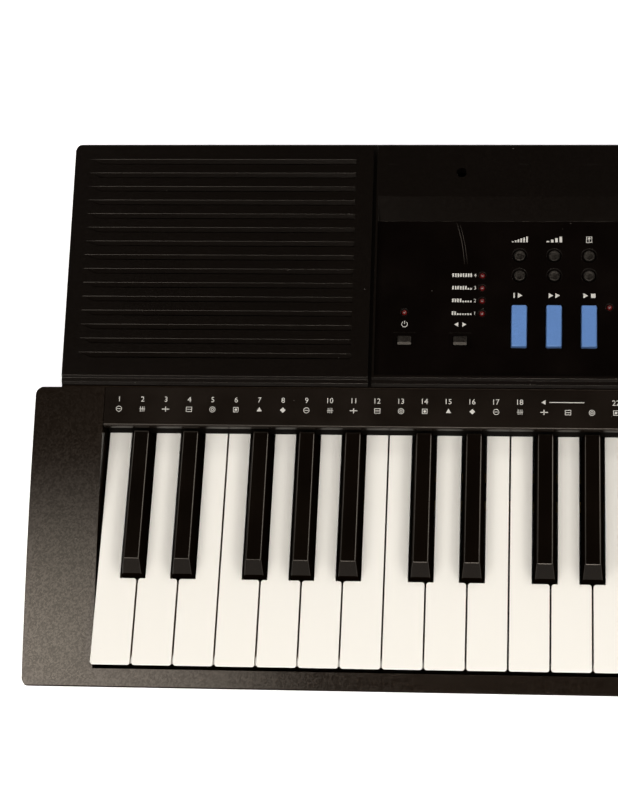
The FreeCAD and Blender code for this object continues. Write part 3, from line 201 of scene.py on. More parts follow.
# Signs of the buttons
MAIN_BARS = 6
ACCOMPANIMENT_BARS = 4
LEVEL_SIZE = (10 * MM, 3.6 * MM)
LEVEL_BAR_SHARE = 0.6
PENDULUM_SIZE = 3.8 * MM
PLAY_SIZE = 3.6 * MM
INTRO_BAR = (0.9 * MM, 3.0 * MM)
INTRO_BAR_X = -3.0 * MM
SYNCHRO_X = (-2.2 * MM, 1.6 * MM)
START_X = 2.4 * MM
STOP_SIZE = 2.6 * MM
POWER_SIZE = 3.8 * MM
POWER_ARC = (math.radians(125), math.radians(415))
MODE_SIZE = 3.2 * MM
MODE_X = 2.0 * MM

# Column of lamps, with numbered range bars to its left
LAMP_COLUMN_X = -123.05 * MM
LAMP_COLUMN_V = (41.1 * MM, 49.0 * MM, 56.9 * MM, 64.7 * MM)
LAMP_MARK = 11.8 * MM
RANGE_SIZE = (12 * MM, 2.2 * MM)
RANGE_STEPS = 8
RANGE_BAR_SHARE = 0.62
RANGE_LOW_SHARE = 0.45
RANGE_NUMBER_X = 7.6 * MM
SMALL_NUMBER = 2.2 * MM

# Number buttons, from the right one of the lower row, and the signs of the two select buttons
DIGIT_COLUMNS = 5
DIGIT_ROWS = 2
DIGIT_X = 162.15 * MM
DIGIT_V = 30.0 * MM
DIGIT_PITCH = (20.25 * MM, 16.0 * MM)
SELECT_PLACES = (49.4 * MM, 29.15 * MM)
SELECT_V = 51.8 * MM
SELECT_SIZE = 3.0 * MM

# Front edge of the control plate on the slope, and how far the plate lies below the ledge behind it
PLATE_EDGE = 1.65 * MM
PLATE_DROP = 4.5 * MM

# Scratches as their ends on the slope, bow and width, and the share of the width left at their ends
PLATE_SCRATCHES = (
    ((-138.65 * MM, 97.7 * MM), (-133.77 * MM, 71.7 * MM), 0.9 * MM, 0.20 * MM),
    ((-136.81 * MM, 96.8 * MM), (-131.95 * MM, 72.0 * MM), 0.7 * MM, 0.16 * MM),
)
LEDGE_SCRATCHES = (
    ((-149.0 * MM, 142.0 * MM), (-142.0 * MM, 123.0 * MM), 1.5 * MM, 0.16 * MM),
    ((-145.0 * MM, 136.0 * MM), (-137.0 * MM, 121.0 * MM), -1.0 * MM, 0.14 * MM),
)
SCRATCH_TIP = 0.15

# Dark matt lip under the front of the key strip, which hides the tails of the keys: a dark sheet that
# stands in for the deep shade there
LIP_HALF = 340.5 * MM
LIP_Y = (-10.15 * MM, -9.15 * MM)
LIP_Z = (52.8 * MM, 65.2 * MM)
LIP_EDGE = 0.25 * MM


# Shader helpers

def add(tree, kind, inputs=None, **settings):
    """A new shader node; an input is a plain value or the output of another node."""
    made = tree.nodes.new(kind)
    for name, value in settings.items():
        setattr(made, name, value)
    for name, value in (inputs or {}).items():
        if isinstance(value, bpy.types.NodeSocket):
            tree.links.new(value, made.inputs[name])
        else:
            made.inputs[name].default_value = value
    return made


def new_material(name):
    """An empty material and its node tree."""
    made = bpy.data.materials.new(name)
    made.use_nodes = True
    made.node_tree.nodes.clear()
    return made, made.node_tree


def place(tree):
    """The place of a point in the frame of its own object."""
    return add(tree, "ShaderNodeTexCoord").outputs["Object"]


def noise(tree, size, detail=2.0, stretch=None):
    """Smooth noise whose features are about size across; stretch scales the three directions."""
    where = place(tree)
    if stretch:
        where = add(tree, "ShaderNodeMapping", {"Vector": where, "Scale": stretch}).outputs["Vector"]
    inputs = {"Vector": where, "Scale": 1.0 / size, "Detail": detail, "Roughness": NOISE_ROUGHNESS}
    return add(tree, "ShaderNodeTexNoise", inputs).outputs["Fac"]


def between(tree, value, low, high, start=0.3, end=0.7):
    """Maps a value that runs from start to end to the range from low to high."""
    inputs = {"Value": value, "From Min": start, "From Max": end, "To Min": low, "To Max": high}
    return add(tree, "ShaderNodeMapRange", inputs).outputs["Result"]


def times(tree, first, second):
    """The product of two values."""
    return add(tree, "ShaderNodeMath", {0: first, 1: second}, operation="MULTIPLY").outputs[0]


def blend_colours(tree, factor, first, second):
    """A mix of two colours, each a plain colour or the output of another node."""
    mixed = add(tree, "ShaderNodeMix", {"Factor": factor}, data_type="RGBA")
    for index, colour in zip(MIX_COLOURS_IN, (first, second)):
        if isinstance(colour, bpy.types.NodeSocket):
            tree.links.new(colour, mixed.inputs[index])
        else:
            mixed.inputs[index].default_value = (*colour, 1.0)
    return mixed.outputs[MIX_COLOUR_OUT]


def scaled(colour, share):
    """A colour that is lighter or darker by a share."""
    return tuple(channel * share for channel in colour)


def tones(tree, value, colour, low, high):
    """A colour that runs from its low share to its high share with a value."""
    return blend_colours(tree, between(tree, value, 0, 1), scaled(colour, low), scaled(colour, high))


def roughness(tree, value, rough):
    """A roughness that varies around the given one with a value."""
    low, high = ROUGH_SPREAD
    return between(tree, value, rough * low, rough * high)


def bump(tree, height, distance):
    """A normal that follows the ups and downs of a value."""
    inputs = {"Height": height, "Distance": distance, "Strength": 1.0}
    return add(tree, "ShaderNodeBump", inputs).outputs["Normal"]


def grains(tree, size):
    """An uneven value for each grain of a cast surface."""
    inputs = {"Vector": place(tree), "Scale": 1.0 / size}
    return add(tree, "ShaderNodeTexVoronoi", inputs).outputs["Color"]


def specks(tree, spacing, radius, core=0.6):
    """1 inside small scattered dots, 0 elsewhere, with a soft rim outside the core."""
    inputs = {"Vector": place(tree), "Scale": 1.0 / spacing}
    cells = add(tree, "ShaderNodeTexVoronoi", inputs)
    reach = radius / spacing
    return between(tree, cells.outputs["Distance"], 1.0, 0.0, reach * core, reach)


def dusty(tree, tone, dust, share, colour=DUST_COLOUR):
    """A tone with scattered specks over it."""
    dots = times(tree, specks(tree, *dust), share)
    return blend_colours(tree, dots, tone, colour)


def face_normal(tree):
    """The three parts of the normal, in the frame of the object."""
    normal = add(tree, "ShaderNodeTexCoord").outputs["Normal"]
    return add(tree, "ShaderNodeSeparateXYZ", {"Vector": normal}).outputs


def sideways(tree):
    """1 on faces that look left or right, 0 on those that look up or to the front."""
    across = face_normal(tree)["X"]
    return add(tree, "ShaderNodeMath", {0: across}, operation="ABSOLUTE").outputs[0]


def upwards(tree):
    """1 on level faces that look up, less on those that lean."""
    return face_normal(tree)["Z"]


def surface(tree, **inputs):
    """A principled surface with the given sockets, joined to the output."""
    named = {name.replace("_", " "): value for name, value in inputs.items()}
    for name, value in named.items():
        if isinstance(value, tuple) and len(value) == 3:
            named[name] = (*value, 1.0)
    made = add(tree, "ShaderNodeBsdfPrincipled", named)
    add(tree, "ShaderNodeOutputMaterial", {"Surface": made.outputs["BSDF"]})


# Kinds of material

def grain_plastic(
    name, colour, grain, depth, rough,
    dust=0.0, shine=PLAIN_SPECULAR, tint=PLAIN_TINT, speckle=0.4, side=1.0,
):
    """Plastic with a fine cast grain that sparkles unevenly; side is the shine kept on leaning faces, whose
    dulled reflections are a painted shade.
    """
    made, tree = new_material(name)
    fine = grains(tree, grain)
    coarse = noise(tree, GRAIN_CLOUD, detail=3.0)
    tone = tones(tree, coarse, colour, *GRAIN_TONES)
    tone = blend_colours(tree, between(tree, fine, 0, 1), scaled(colour, 1 - speckle), tone)
    if dust > 0:
        tone = dusty(tree, tone, GRAIN_DUST, dust)
    gleam = between(tree, fine, shine * (1 - speckle), shine * (1 + speckle))
    # Painted shade: leaning faces lose much of their shine
    if side < 1:
        gleam = times(tree, gleam, between(tree, upwards(tree), side, 1.0, *GRAIN_UPWARD))
    surface(
        tree,
        Base_Color=tone,
        Roughness=between(tree, fine, rough * (1 - speckle / 2), rough * (1 + speckle / 2)),
        Specular_IOR_Level=gleam,
        Specular_Tint=tint,
        Normal=bump(tree, fine, depth),
    )
    return made


def gloss_plastic(name, colour, rough, dust=0.0, shine=DARK_SPECULAR, side=1.0, front=1.0):
    """Smooth gloss plastic with hazy patches; side and front are the shine kept on upright faces, whose
    dulled reflections are a painted shade.
    """
    made, tree = new_material(name)
    haze = noise(tree, GLOSS_HAZE, detail=4.0)
    fine = noise(tree, GLOSS_RIPPLE)
    tone = tones(tree, haze, colour, *GLOSS_TONES)
    if dust > 0:
        tone = dusty(tree, tone, GLOSS_DUST, dust)
    gleam = shine
    # Painted shade: upright faces that look sideways or to the front lose their shine
    if side < 1:
        gleam = between(tree, sideways(tree), shine, shine * side, *GLOSS_SIDEWAYS)
    if front < 1:
        gleam = times(tree, gleam, between(tree, upwards(tree), front, 1.0, *GLOSS_UPWARD))
    surface(
        tree,
        Base_Color=tone,
        Roughness=roughness(tree, haze, rough),
        Specular_IOR_Level=gleam,
        Specular_Tint=DARK_TINT,
        Normal=bump(tree, fine, GLOSS_RIPPLE_DEPTH),
    )
    return made


def ivory_plastic(name, colour, rough):
    """Polished key plastic, a touch uneven in tone, with a few specks, and painted shade on the keys'
    sides, in the gaps between keys.
    """
    made, tree = new_material(name)
    cloud = between(tree, noise(tree, KEY_CLOUD), 0, 1, start=0.2, end=0.8)
    warm = tuple(channel * share for channel, share in zip(colour, KEY_WARMTH))
    tone = blend_colours(tree, cloud, colour, warm)
    tone = dusty(tree, tone, KEY_DUST, KEY_DUST_SHARE, KEY_DUST_COLOUR)
    # Painted shade: the keys' sides, in the gaps between keys, darken to a brown
    side_shade = between(tree, sideways(tree), 0, 1, *SIDE_SHADE_SIDEWAYS)
    tone = blend_colours(tree, side_shade, tone, KEY_SIDE_SHADE_COLOUR)
    surface(tree, Base_Color=tone, Roughness=rough)
    return made


def lens_plastic(name, dark, light):
    """Clear red lens over a dark lamp, its colour lighter towards its rim as the view meets it more
    slantwise: a painted sheen.
    """
    made, tree = new_material(name)
    # Painted sheen: the red grows lighter where the lens turns away from the view
    facing = add(tree, "ShaderNodeLayerWeight", {"Blend": 0.35}).outputs["Facing"]
    surface(
        tree,
        Base_Color=blend_colours(tree, facing, dark, light),
        Roughness=between(tree, noise(tree, LENS_RIPPLE), *LENS_ROUGHNESS),
        Coat_Weight=0.6,
        Coat_Roughness=0.05,
    )
    return made


def brushed_metal(name, colour, rough):
    """Bare metal with fine lines from front to back."""
    made, tree = new_material(name)
    lines = noise(tree, BRUSH_LINE, detail=3.0, stretch=BRUSH_STRETCH)
    surface(
        tree,
        Base_Color=tones(tree, lines, colour, *METAL_TONES),
        Metallic=1.0,
        Roughness=roughness(tree, lines, rough),
        Normal=bump(tree, lines, BRUSH_DEPTH),
    )
    return made


def board_material(name, colour, track):
    """Phenolic circuit board with darker tracks."""
    made, tree = new_material(name)
    inputs = {"Vector": place(tree), "Scale": BOARD_TRACKS, "Distortion": BOARD_TRACK_BEND}
    lanes = add(tree, "ShaderNodeTexWave", inputs).outputs["Fac"]
    tone = blend_colours(tree, between(tree, lanes, 0, 1, start=0.4, end=0.6), colour, track)
    surface(tree, Base_Color=tone, Roughness=between(tree, noise(tree, BOARD_CLOUD), *BOARD_ROUGHNESS))
    return made


def ink_material(name, colour):
    """Screen-printed ink, slightly thin in places."""
    made, tree = new_material(name)
    wear = noise(tree, INK_WEAR, detail=3.0)
    tone = tones(tree, wear, colour, *INK_TONES)
    surface(tree, Base_Color=tone, Roughness=between(tree, wear, *INK_ROUGHNESS))
    return made


# The finishes themselves

def case_finishes():
    """Black plastics of the case and the speaker covers, and the dark lip under the strip that stands in
    for the shade there.
    """
    return [
        grain_plastic(
            "case_plastic",
            colour=(0.0075, 0.0046, 0.0028),
            grain=0.8 * MM,
            depth=0.002 * MM,
            rough=0.15,
            dust=0.2,
            shine=DARK_SPECULAR * 3.1,
            tint=DARK_TINT,
            speckle=0.22,
            side=0.05,
        ),
        grain_plastic(
            "cover_plastic",
            colour=(0.0031, 0.0021, 0.0016),
            grain=0.9 * MM,
            depth=0.002 * MM,
            rough=0.20,
            dust=0.25,
            shine=DARK_SPECULAR * 1.15,
            tint=DARK_TINT,
            speckle=0.1,
            side=0.25,
        ),
        # Lighter, shinier copy for the rounded edges of the covers, a painted highlight
        gloss_plastic("cover_edge_highlight", colour=(0.006, 0.005, 0.004), rough=0.15, shine=1.0),
        # Near-black matt finish of the lip, a painted shade under the key strip
        grain_plastic(
            "shade_lip_matt",
            colour=(0.004, 0.0032, 0.0026),
            grain=0.5 * MM,
            depth=0.002 * MM,
            rough=0.7,
            shine=0.03,
            tint=DARK_TINT,
        ),
    ]


def panel_finishes():
    """Gloss plates, buttons, lamps and printing."""
    blue = {"grain": 0.4 * MM, "depth": 0.001 * MM, "rough": 0.30, "speckle": 0.04}
    return [
        gloss_plastic("panel_gloss", colour=(0.0014, 0.0007, 0.0005), rough=0.18, dust=0.2, shine=0.3),
        # Lighter, shinier copy for the rounded edges of the plate, a painted highlight
        gloss_plastic("panel_edge_highlight", colour=(0.004, 0.003, 0.002), rough=0.12, shine=0.8),
        gloss_plastic("strip_gloss", colour=(0.0066, 0.0046, 0.0034), rough=0.20, dust=0.15),
        grain_plastic("button_blue", colour=(0.092, 0.193, 0.445), **blue),
        # Lighter blue for the rims of the blue buttons, a painted highlight
        grain_plastic("blue_edge_highlight", colour=(0.22, 0.35, 0.61), **blue),
        grain_plastic(
            "button_dark",
            colour=(0.0045, 0.0034, 0.0026),
            grain=0.4 * MM,
            depth=0.01 * MM,
            rough=0.40,
            dust=0.1,
            shine=DARK_SPECULAR,
            tint=DARK_TINT,
        ),
        lens_plastic("lamp_red", dark=(0.05, 0.002, 0.002), light=(0.30, 0.012, 0.01)),
        ink_material("ink", colour=(0.55, 0.54, 0.515)),
        ink_material("scratch", colour=(0.06, 0.05, 0.042)),
    ]


def key_finishes():
    """White keys, and black keys with a painted highlight on their rounded edges."""
    black = (0.0022, 0.0012, 0.0006)
    return [
        ivory_plastic("key_white", colour=(0.808, 0.798, 0.770), rough=0.275),
        # The sides and fronts of the black keys, and the fronts of their edges, keep no shine: a painted
        # shade
        gloss_plastic("key_black", colour=black, rough=0.13, dust=0.1, shine=0.55, side=0.0, front=0.0),
        # Lighter, shinier copy for the rounded edges of the black keys, a painted highlight
        gloss_plastic("key_edge_highlight", colour=(0.006, 0.005, 0.004), rough=0.12, shine=1.0, front=0.0),
    ]


def inner_finishes():
    """What lies inside, behind and underneath."""
    grey = (0.12, 0.12, 0.12)
    rubber = (0.02, 0.02, 0.02)
    metal = (0.03, 0.03, 0.03)
    jack = (0.015, 0.015, 0.015)
    return [
        grain_plastic("chassis_plastic", grey, grain=0.8 * MM, depth=0.02 * MM, rough=0.5),
        grain_plastic("soft_rubber", rubber, grain=0.6 * MM, depth=0.03 * MM, rough=0.75, dust=0.1),
        grain_plastic("speaker_metal", metal, grain=1.0 * MM, depth=0.03 * MM, rough=0.6),
        grain_plastic("jack_plastic", jack, grain=0.5 * MM, depth=0.01 * MM, rough=0.45, dust=0.1),
        brushed_metal("steel", colour=(0.55, 0.54, 0.52), rough=0.3),
        board_material("circuit_board", colour=(0.20, 0.13, 0.05), track=(0.10, 0.09, 0.03)),
    ]


def make_materials():
    """One material for each slot of the record, and those for edge highlights, lip, ink and scratches."""
    made = case_finishes() + panel_finishes() + key_finishes() + inner_finishes()
    return {material.name.split(".")[0]: material for material in made}


# Finish of the CAD nodes

def geometry_group(name):
    """An empty geometry group with one geometry in and out."""
    group = bpy.data.node_groups.new(name, "GeometryNodeTree")
    group.interface.new_socket("Geometry", in_out="INPUT", socket_type="NodeSocketGeometry")
    group.interface.new_socket("Geometry", in_out="OUTPUT", socket_type="NodeSocketGeometry")
    return group


def chain(group, steps):
    """Joins nodes that pass a geometry on, from the group's input to its output."""
    reach = group.nodes.new("NodeGroupInput").outputs[0]
    for step in steps:
        group.links.new(reach, step.inputs["Geometry"])
        reach = step.outputs["Geometry"]
    group.links.new(reach, group.nodes.new("NodeGroupOutput").inputs[0])


def join_points_group():
    """Drops the normals that came with the model and joins the doubled points along its edges."""
    group = geometry_group("join_points")
    drop = group.nodes.new("GeometryNodeRemoveAttribute")
    drop.inputs["Name"].default_value = "custom_normal"
    merge = group.nodes.new("GeometryNodeMergeByDistance")
    merge.inputs["Distance"].default_value = SAME_POINT
    chain(group, [drop, merge])
    return group


def smooth_faces_group():
    """Shades faces smooth, apart from across sharp corners."""
    group = geometry_group("smooth_faces")
    smooth = group.nodes.new("GeometryNodeSetShadeSmooth")
    sharp = group.nodes.new("GeometryNodeSetShadeSmooth")
    sharp.domain = "EDGE"
    sharp.inputs["Shade Smooth"].default_value = False
    corner = group.nodes.new("GeometryNodeInputMeshEdgeAngle")
    limit = group.nodes.new("FunctionNodeCompare")
    limit.operation = "GREATER_THAN"
    limit.inputs["B"].default_value = SMOOTH_CORNER
    group.links.new(corner.outputs["Unsigned Angle"], limit.inputs["A"])
    group.links.new(limit.outputs["Result"], sharp.inputs["Selection"])
    chain(group, [smooth, sharp])
    return group


def round_edges(node, width):
    """Joins flat faces and rounds the edges between them, in the last of the node's materials."""
    flat = node.modifiers.new("flat_faces", "DECIMATE")
    flat.decimate_type = "DISSOLVE"
    flat.angle_limit = FLAT_CORNER
    edge = node.modifiers.new("edges", "BEVEL")
    edge.limit_method = "ANGLE"
    edge.angle_limit = EDGE_CORNER
    edge.width = width
    edge.segments = EDGE_STEPS
    edge.use_clamp_overlap = True
    # The rounding takes the last finish, the painted highlight where the node has one
    edge.material = len(node.data.materials) - 1


def finish_nodes(materials):
    """Gives every CAD node its material, and rounds the edges that show."""
    join_points = join_points_group()
    smooth_faces = smooth_faces_group()
    slots = {row["node"]: row["material_slot"] for row in frame["record"]["subparts"]}
    for name, node in nodes.items():
        slot = slots[name]
        node.data.materials.clear()
        node.data.materials.append(materials[slot])
        # A second, lighter finish for the rounded edges: a painted highlight
        if slot in EDGE_HIGHLIGHT_FINISH:
            node.data.materials.append(materials[EDGE_HIGHLIGHT_FINISH[slot]])
        node.modifiers.new("join_points", "NODES").node_group = join_points
        if slot in EDGE_WIDTH:
            round_edges(node, EDGE_WIDTH[slot])
        node.modifiers.new("smooth_faces", "NODES").node_group = smooth_faces
        node.modifiers.new("even_normals", "WEIGHTED_NORMAL").keep_sharp = True


# Places for marks

def top_of(name):
    """A point on the widest upward face of a node, and the way up that face."""
    faces = [face for face in nodes[name].data.polygons if face.normal.z > TOP_NORMAL]
    widest = max(faces, key=lambda face: face.area)
    return widest.center.copy(), widest.normal.copy()


def laid_on(name, x, y):
    """Where a mark lies on a node's top, with its own up along the slope."""
    middle, normal = top_of(name)
    z = middle.z - ((x - middle.x) * normal.x + (y - middle.y) * normal.y) / normal.z
    right = Vector((1, 0, 0))
    up = normal.cross(right).normalized()
    turned = Matrix((right, up, normal)).transposed().to_4x4()
    return Matrix.Translation(Vector((x, y, z)) + normal * INK_LIFT) @ turned


def on_slope(name, x, v, rise=0.0):
    """A place on the sloped panel, v up from its front edge; rise is measured from the control plate."""
    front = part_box("control_plate")[0].y
    normal = top_of("control_plate")[1]
    return laid_on(name, x, front + (v - PLATE_EDGE) * normal.z + rise * normal.y)


def above(name, distance):
    """A place on the control plate, up the slope from the middle of a button."""
    low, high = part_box(name)
    normal = top_of("control_plate")[1]
    return laid_on("control_plate", (low.x + high.x) / 2, (low.y + high.y) / 2 + distance * normal.z)


# Printed shapes

def flat_shape(points):
    """A thin closed shape from the corners of its outline."""
    made = bmesh.new()
    face = made.faces.new([made.verts.new((x, y, 0)) for x, y in points])
    grown = bmesh.ops.extrude_face_region(made, geom=[face])["geom"]
    corners = [part for part in grown if isinstance(part, bmesh.types.BMVert)]
    bmesh.ops.translate(made, verts=corners, vec=(0, 0, INK_THICKNESS))
    bmesh.ops.recalc_face_normals(made, faces=made.faces)
    mesh = bpy.data.meshes.new("mark")
    made.to_mesh(mesh)
    made.free()
    return mesh


def bar(width, height, x=0.0, y=0.0):
    """A filled box around a place."""
    left, right = x - width / 2, x + width / 2
    low, high = y - height / 2, y + height / 2
    return flat_shape([(left, low), (right, low), (right, high), (left, high)])


def polygon(count, radius, turn=0.0, x=0.0, y=0.0):
    """A filled shape with equal sides; its first corner points right unless it is turned."""
    angles = [turn + math.tau * i / count for i in range(count)]
    return flat_shape([(x + radius * math.cos(a), y + radius * math.sin(a)) for a in angles])


def play(size, x=0.0, turn=0.0):
    """A triangle that points right unless it is turned."""
    return polygon(3, size / 2, turn, x)


def arc_band(radius, start, end, x=0.0, y=0.0, steps=12):
    """Part of a ring, as thick as the printed stroke."""
    angles = [start + (end - start) * i / steps for i in range(steps + 1)]
    outer = [(x + radius * math.cos(a), y + radius * math.sin(a)) for a in angles]
    inside = radius - STROKE
    inner = [(x + inside * math.cos(a), y + inside * math.sin(a)) for a in reversed(angles)]
    return flat_shape(outer + inner)


def ring(radius, x=0.0, y=0.0):
    """A ring from two halves."""
    return [arc_band(radius, 0, math.pi, x, y), arc_band(radius, math.pi, math.tau, x, y)]


def frame_box(width, height):
    """An empty box in printed strokes."""
    reach_x = (width - STROKE) / 2
    reach_y = (height - STROKE) / 2
    return [
        bar(width, STROKE, 0, -reach_y),
        bar(width, STROKE, 0, reach_y),
        bar(STROKE, height - 2 * STROKE, -reach_x, 0),
        bar(STROKE, height - 2 * STROKE, reach_x, 0),
    ]


def number(value, height):
    """A plain number, set in the middle of its own box."""
    curve = bpy.data.curves.new("number", "FONT")
    curve.body = str(value)
    curve.size = height / CAPITAL_SHARE
    curve.extrude = INK_THICKNESS / 2
    curve.resolution_u = 3
    writing = bpy.data.objects.new("number", curve)
    bpy.context.scene.collection.objects.link(writing)
    bpy.context.view_layer.update()
    seen = writing.evaluated_get(bpy.context.evaluated_depsgraph_get())
    mesh = bpy.data.meshes.new_from_object(seen)
    bpy.data.objects.remove(writing)
    bpy.data.curves.remove(curve)
    xs = [point.co.x for point in mesh.vertices]
    ys = [point.co.y for point in mesh.vertices]
    middle = Vector(((min(xs) + max(xs)) / 2, (min(ys) + max(ys)) / 2, -INK_THICKNESS / 2))
    mesh.transform(Matrix.Translation(-middle))
    return mesh


def rising_bars(count, width, height):
    """Bars that grow to the right."""
    step = width / count
    made = []
    for index in range(count):
        x = (index + 0.5) * step - width / 2
        tall = height * (index + 1) / count
        made.append(bar(step * LEVEL_BAR_SHARE, tall, x, (tall - height) / 2))
    return made


def range_bar(width, height, share, count):
    """A row of small bars, the first share of them at full height."""
    step = width / count
    made = []
    for index in range(count):
        x = (index + 0.5) * step - width / 2
        tall = height if index < share * count else height * RANGE_LOW_SHARE
        made.append(bar(step * RANGE_BAR_SHARE, tall, x, (tall - height) / 2))
    return made


def pendulum(height):
    """A ticking weight on a rod in an open frame."""
    foot = height * 0.45
    rod = bar(STROKE, height * 0.8)
    weight = bar(foot, STROKE * 2, 0, height * 0.15)
    return frame_box(foot * 2, height) + [rod, weight]


def power_sign(size):
    """An open ring with a stroke in its gap."""
    half = size / 2
    return [arc_band(half, *POWER_ARC), bar(STROKE, half, 0, half * 0.6)]


def bowed_line(start, end, bow, width, steps=8):
    """A thin line between two places that bends to one side and thins out at its ends."""
    run = Vector(end) - Vector(start)
    side = Vector((-run.y, run.x)).normalized()
    left = []
    right = []
    for index in range(steps + 1):
        share = index / steps
        swell = 4 * share * (1 - share)
        spot = Vector(start) + run * share + side * (bow * swell)
        half = side * (width * (SCRATCH_TIP + (1 - SCRATCH_TIP) * swell) / 2)
        left.append(tuple(spot + half))
        right.append(tuple(spot - half))
    return flat_shape(left + right[::-1])


# Printed pieces and scratches

def print_marks(name, material, marks):
    """Joins marks, given as (place, meshes), into one printed piece on the case."""
    sheet = bmesh.new()
    for where, meshes in marks:
        for mesh in meshes:
            mesh.transform(where)
            sheet.from_mesh(mesh)
            bpy.data.meshes.remove(mesh)
    mesh = bpy.data.meshes.new(name)
    sheet.to_mesh(mesh)
    sheet.free()
    mesh.materials.append(material)
    piece = bpy.data.objects.new(name, mesh)
    bpy.context.scene.collection.objects.link(piece)
    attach(piece, "case")


def strip_symbols():
    """Simple shapes that stand for sounds, in the order in which they repeat."""
    half = SYMBOL_SIZE / 2
    tall = SYMBOL_SIZE * 0.7
    wide = SYMBOL_SIZE * 0.8
    radius = half * 0.8
    thick = STROKE * 1.5
    return [
        lambda: ring(radius) + [bar(half, STROKE)],
        lambda: frame_box(wide, tall) + [bar(wide, STROKE)],
        lambda: [polygon(3, radius, math.pi / 2)],
        lambda: [bar(STROKE, tall, x) for x in (-half / 2, 0, half / 2)] + [bar(wide, STROKE)],
        lambda: ring(radius) + ring(radius / 2),
        lambda: [polygon(4, half * 0.75)],
        lambda: [bar(SYMBOL_SIZE, thick), bar(thick, tall)],
        lambda: frame_box(tall, tall) + [polygon(12, half * 0.35)],
    ]


def print_strip(materials):
    """Numbers and simple shapes along the key strip, one for each key, and an arrow among the numbers."""
    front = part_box("key_strip")[0].y
    normal = top_of("key_strip")[1]
    number_y = front + NUMBER_ROW * normal.z
    symbol_y = front + SYMBOL_ROW * normal.z
    symbols = strip_symbols()
    hidden = range(ARROW_INDEX, ARROW_INDEX + ARROW_NUMBERS)
    marks = []
    for index in range(MARK_COUNT):
        x = MARK_FIRST + index * MARK_PITCH
        if index not in hidden:
            marks.append((laid_on("key_strip", x, number_y), [number(index + 1, NUMBER_HEIGHT)]))
        symbol = symbols[index * SYMBOL_STEP % len(symbols)]
        marks.append((laid_on("key_strip", x, symbol_y), symbol()))
    where = laid_on("key_strip", MARK_FIRST + ARROW_INDEX * MARK_PITCH, number_y)
    head = polygon(3, ARROW_HEAD, math.pi)
    shaft = bar(ARROW_LENGTH, HEAVY_STROKE, ARROW_LENGTH / 2 + ARROW_GAP)
    marks.append((where, [head, shaft]))
    print_marks("strip_marks", materials["ink"], marks)


def button_signs():
    """Plain signs up the slope from the buttons on the left of the plate."""
    return [
        (above("main_volume_up_button", KNOB_MARK), rising_bars(MAIN_BARS, *LEVEL_SIZE)),
        (above("accompaniment_volume_up_button", KNOB_MARK), rising_bars(ACCOMPANIMENT_BARS, *LEVEL_SIZE)),
        (above("tempo_up_button", KNOB_MARK), pendulum(PENDULUM_SIZE)),
        (above("intro_button", BLUE_MARK), [bar(*INTRO_BAR, INTRO_BAR_X), play(PLAY_SIZE)]),
        (above("synchro_button", BLUE_MARK), [play(PLAY_SIZE, x) for x in SYNCHRO_X]),
        (above("start_button", BLUE_MARK), [play(PLAY_SIZE, -START_X), bar(STOP_SIZE, STOP_SIZE, START_X)]),
        (above("power_button", POWER_MARK), power_sign(POWER_SIZE)),
        (above("mode_button", POWER_MARK), [play(MODE_SIZE, -MODE_X, math.pi), play(MODE_SIZE, MODE_X)]),
    ]


def lamp_signs():
    """A numbered range bar to the left of each lamp in the column."""
    x = LAMP_COLUMN_X - LAMP_MARK
    marks = []
    for index, v in enumerate(LAMP_COLUMN_V):
        share = (index + 1) / len(LAMP_COLUMN_V)
        marks.append((on_slope("control_plate", x, v), range_bar(*RANGE_SIZE, share, RANGE_STEPS)))
        where = on_slope("control_plate", x + RANGE_NUMBER_X, v)
        marks.append((where, [number(index + 1, SMALL_NUMBER)]))
    return marks


def digit_signs():
    """Numbers 1 to 9 and 0 over the number buttons."""
    marks = []
    for index in range(DIGIT_ROWS * DIGIT_COLUMNS):
        row, column = divmod(index, DIGIT_COLUMNS)
        x = DIGIT_X - (DIGIT_COLUMNS - 1 - column) * DIGIT_PITCH[0]
        v = DIGIT_V + (DIGIT_ROWS - 1 - row) * DIGIT_PITCH[1] + DIGIT_MARK
        marks.append((on_slope("control_plate", x, v), [number((index + 1) % 10, SMALL_NUMBER)]))
    return marks


def select_signs():
    """A plus and a minus for the select buttons."""
    plus = [bar(SELECT_SIZE, HEAVY_STROKE), bar(HEAVY_STROKE, SELECT_SIZE)]
    minus = [bar(SELECT_SIZE, HEAVY_STROKE)]
    places = [on_slope("control_plate", x, SELECT_V) for x in SELECT_PLACES]
    return list(zip(places, (plus, minus)))


def print_panel(materials):
    """Plain signs and numbers beside the buttons and lamps of the panel."""
    marks = button_signs() + lamp_signs() + digit_signs() + select_signs()
    print_marks("panel_marks", materials["ink"], marks)


def draw_scratches(materials):
    """Fine scratches on the control plate and on the ledge behind it."""
    marks = []
    for name, lines, rise in (
        ("control_plate", PLATE_SCRATCHES, 0.0),
        ("panel_housing", LEDGE_SCRATCHES, PLATE_DROP),
    ):
        for start, end, bow, width in lines:
            run = (end[0] - start[0], end[1] - start[1])
            where = on_slope(name, start[0], start[1], rise)
            marks.append((where, [bowed_line((0, 0), run, bow, width)]))
    print_marks("scratches", materials["scratch"], marks)


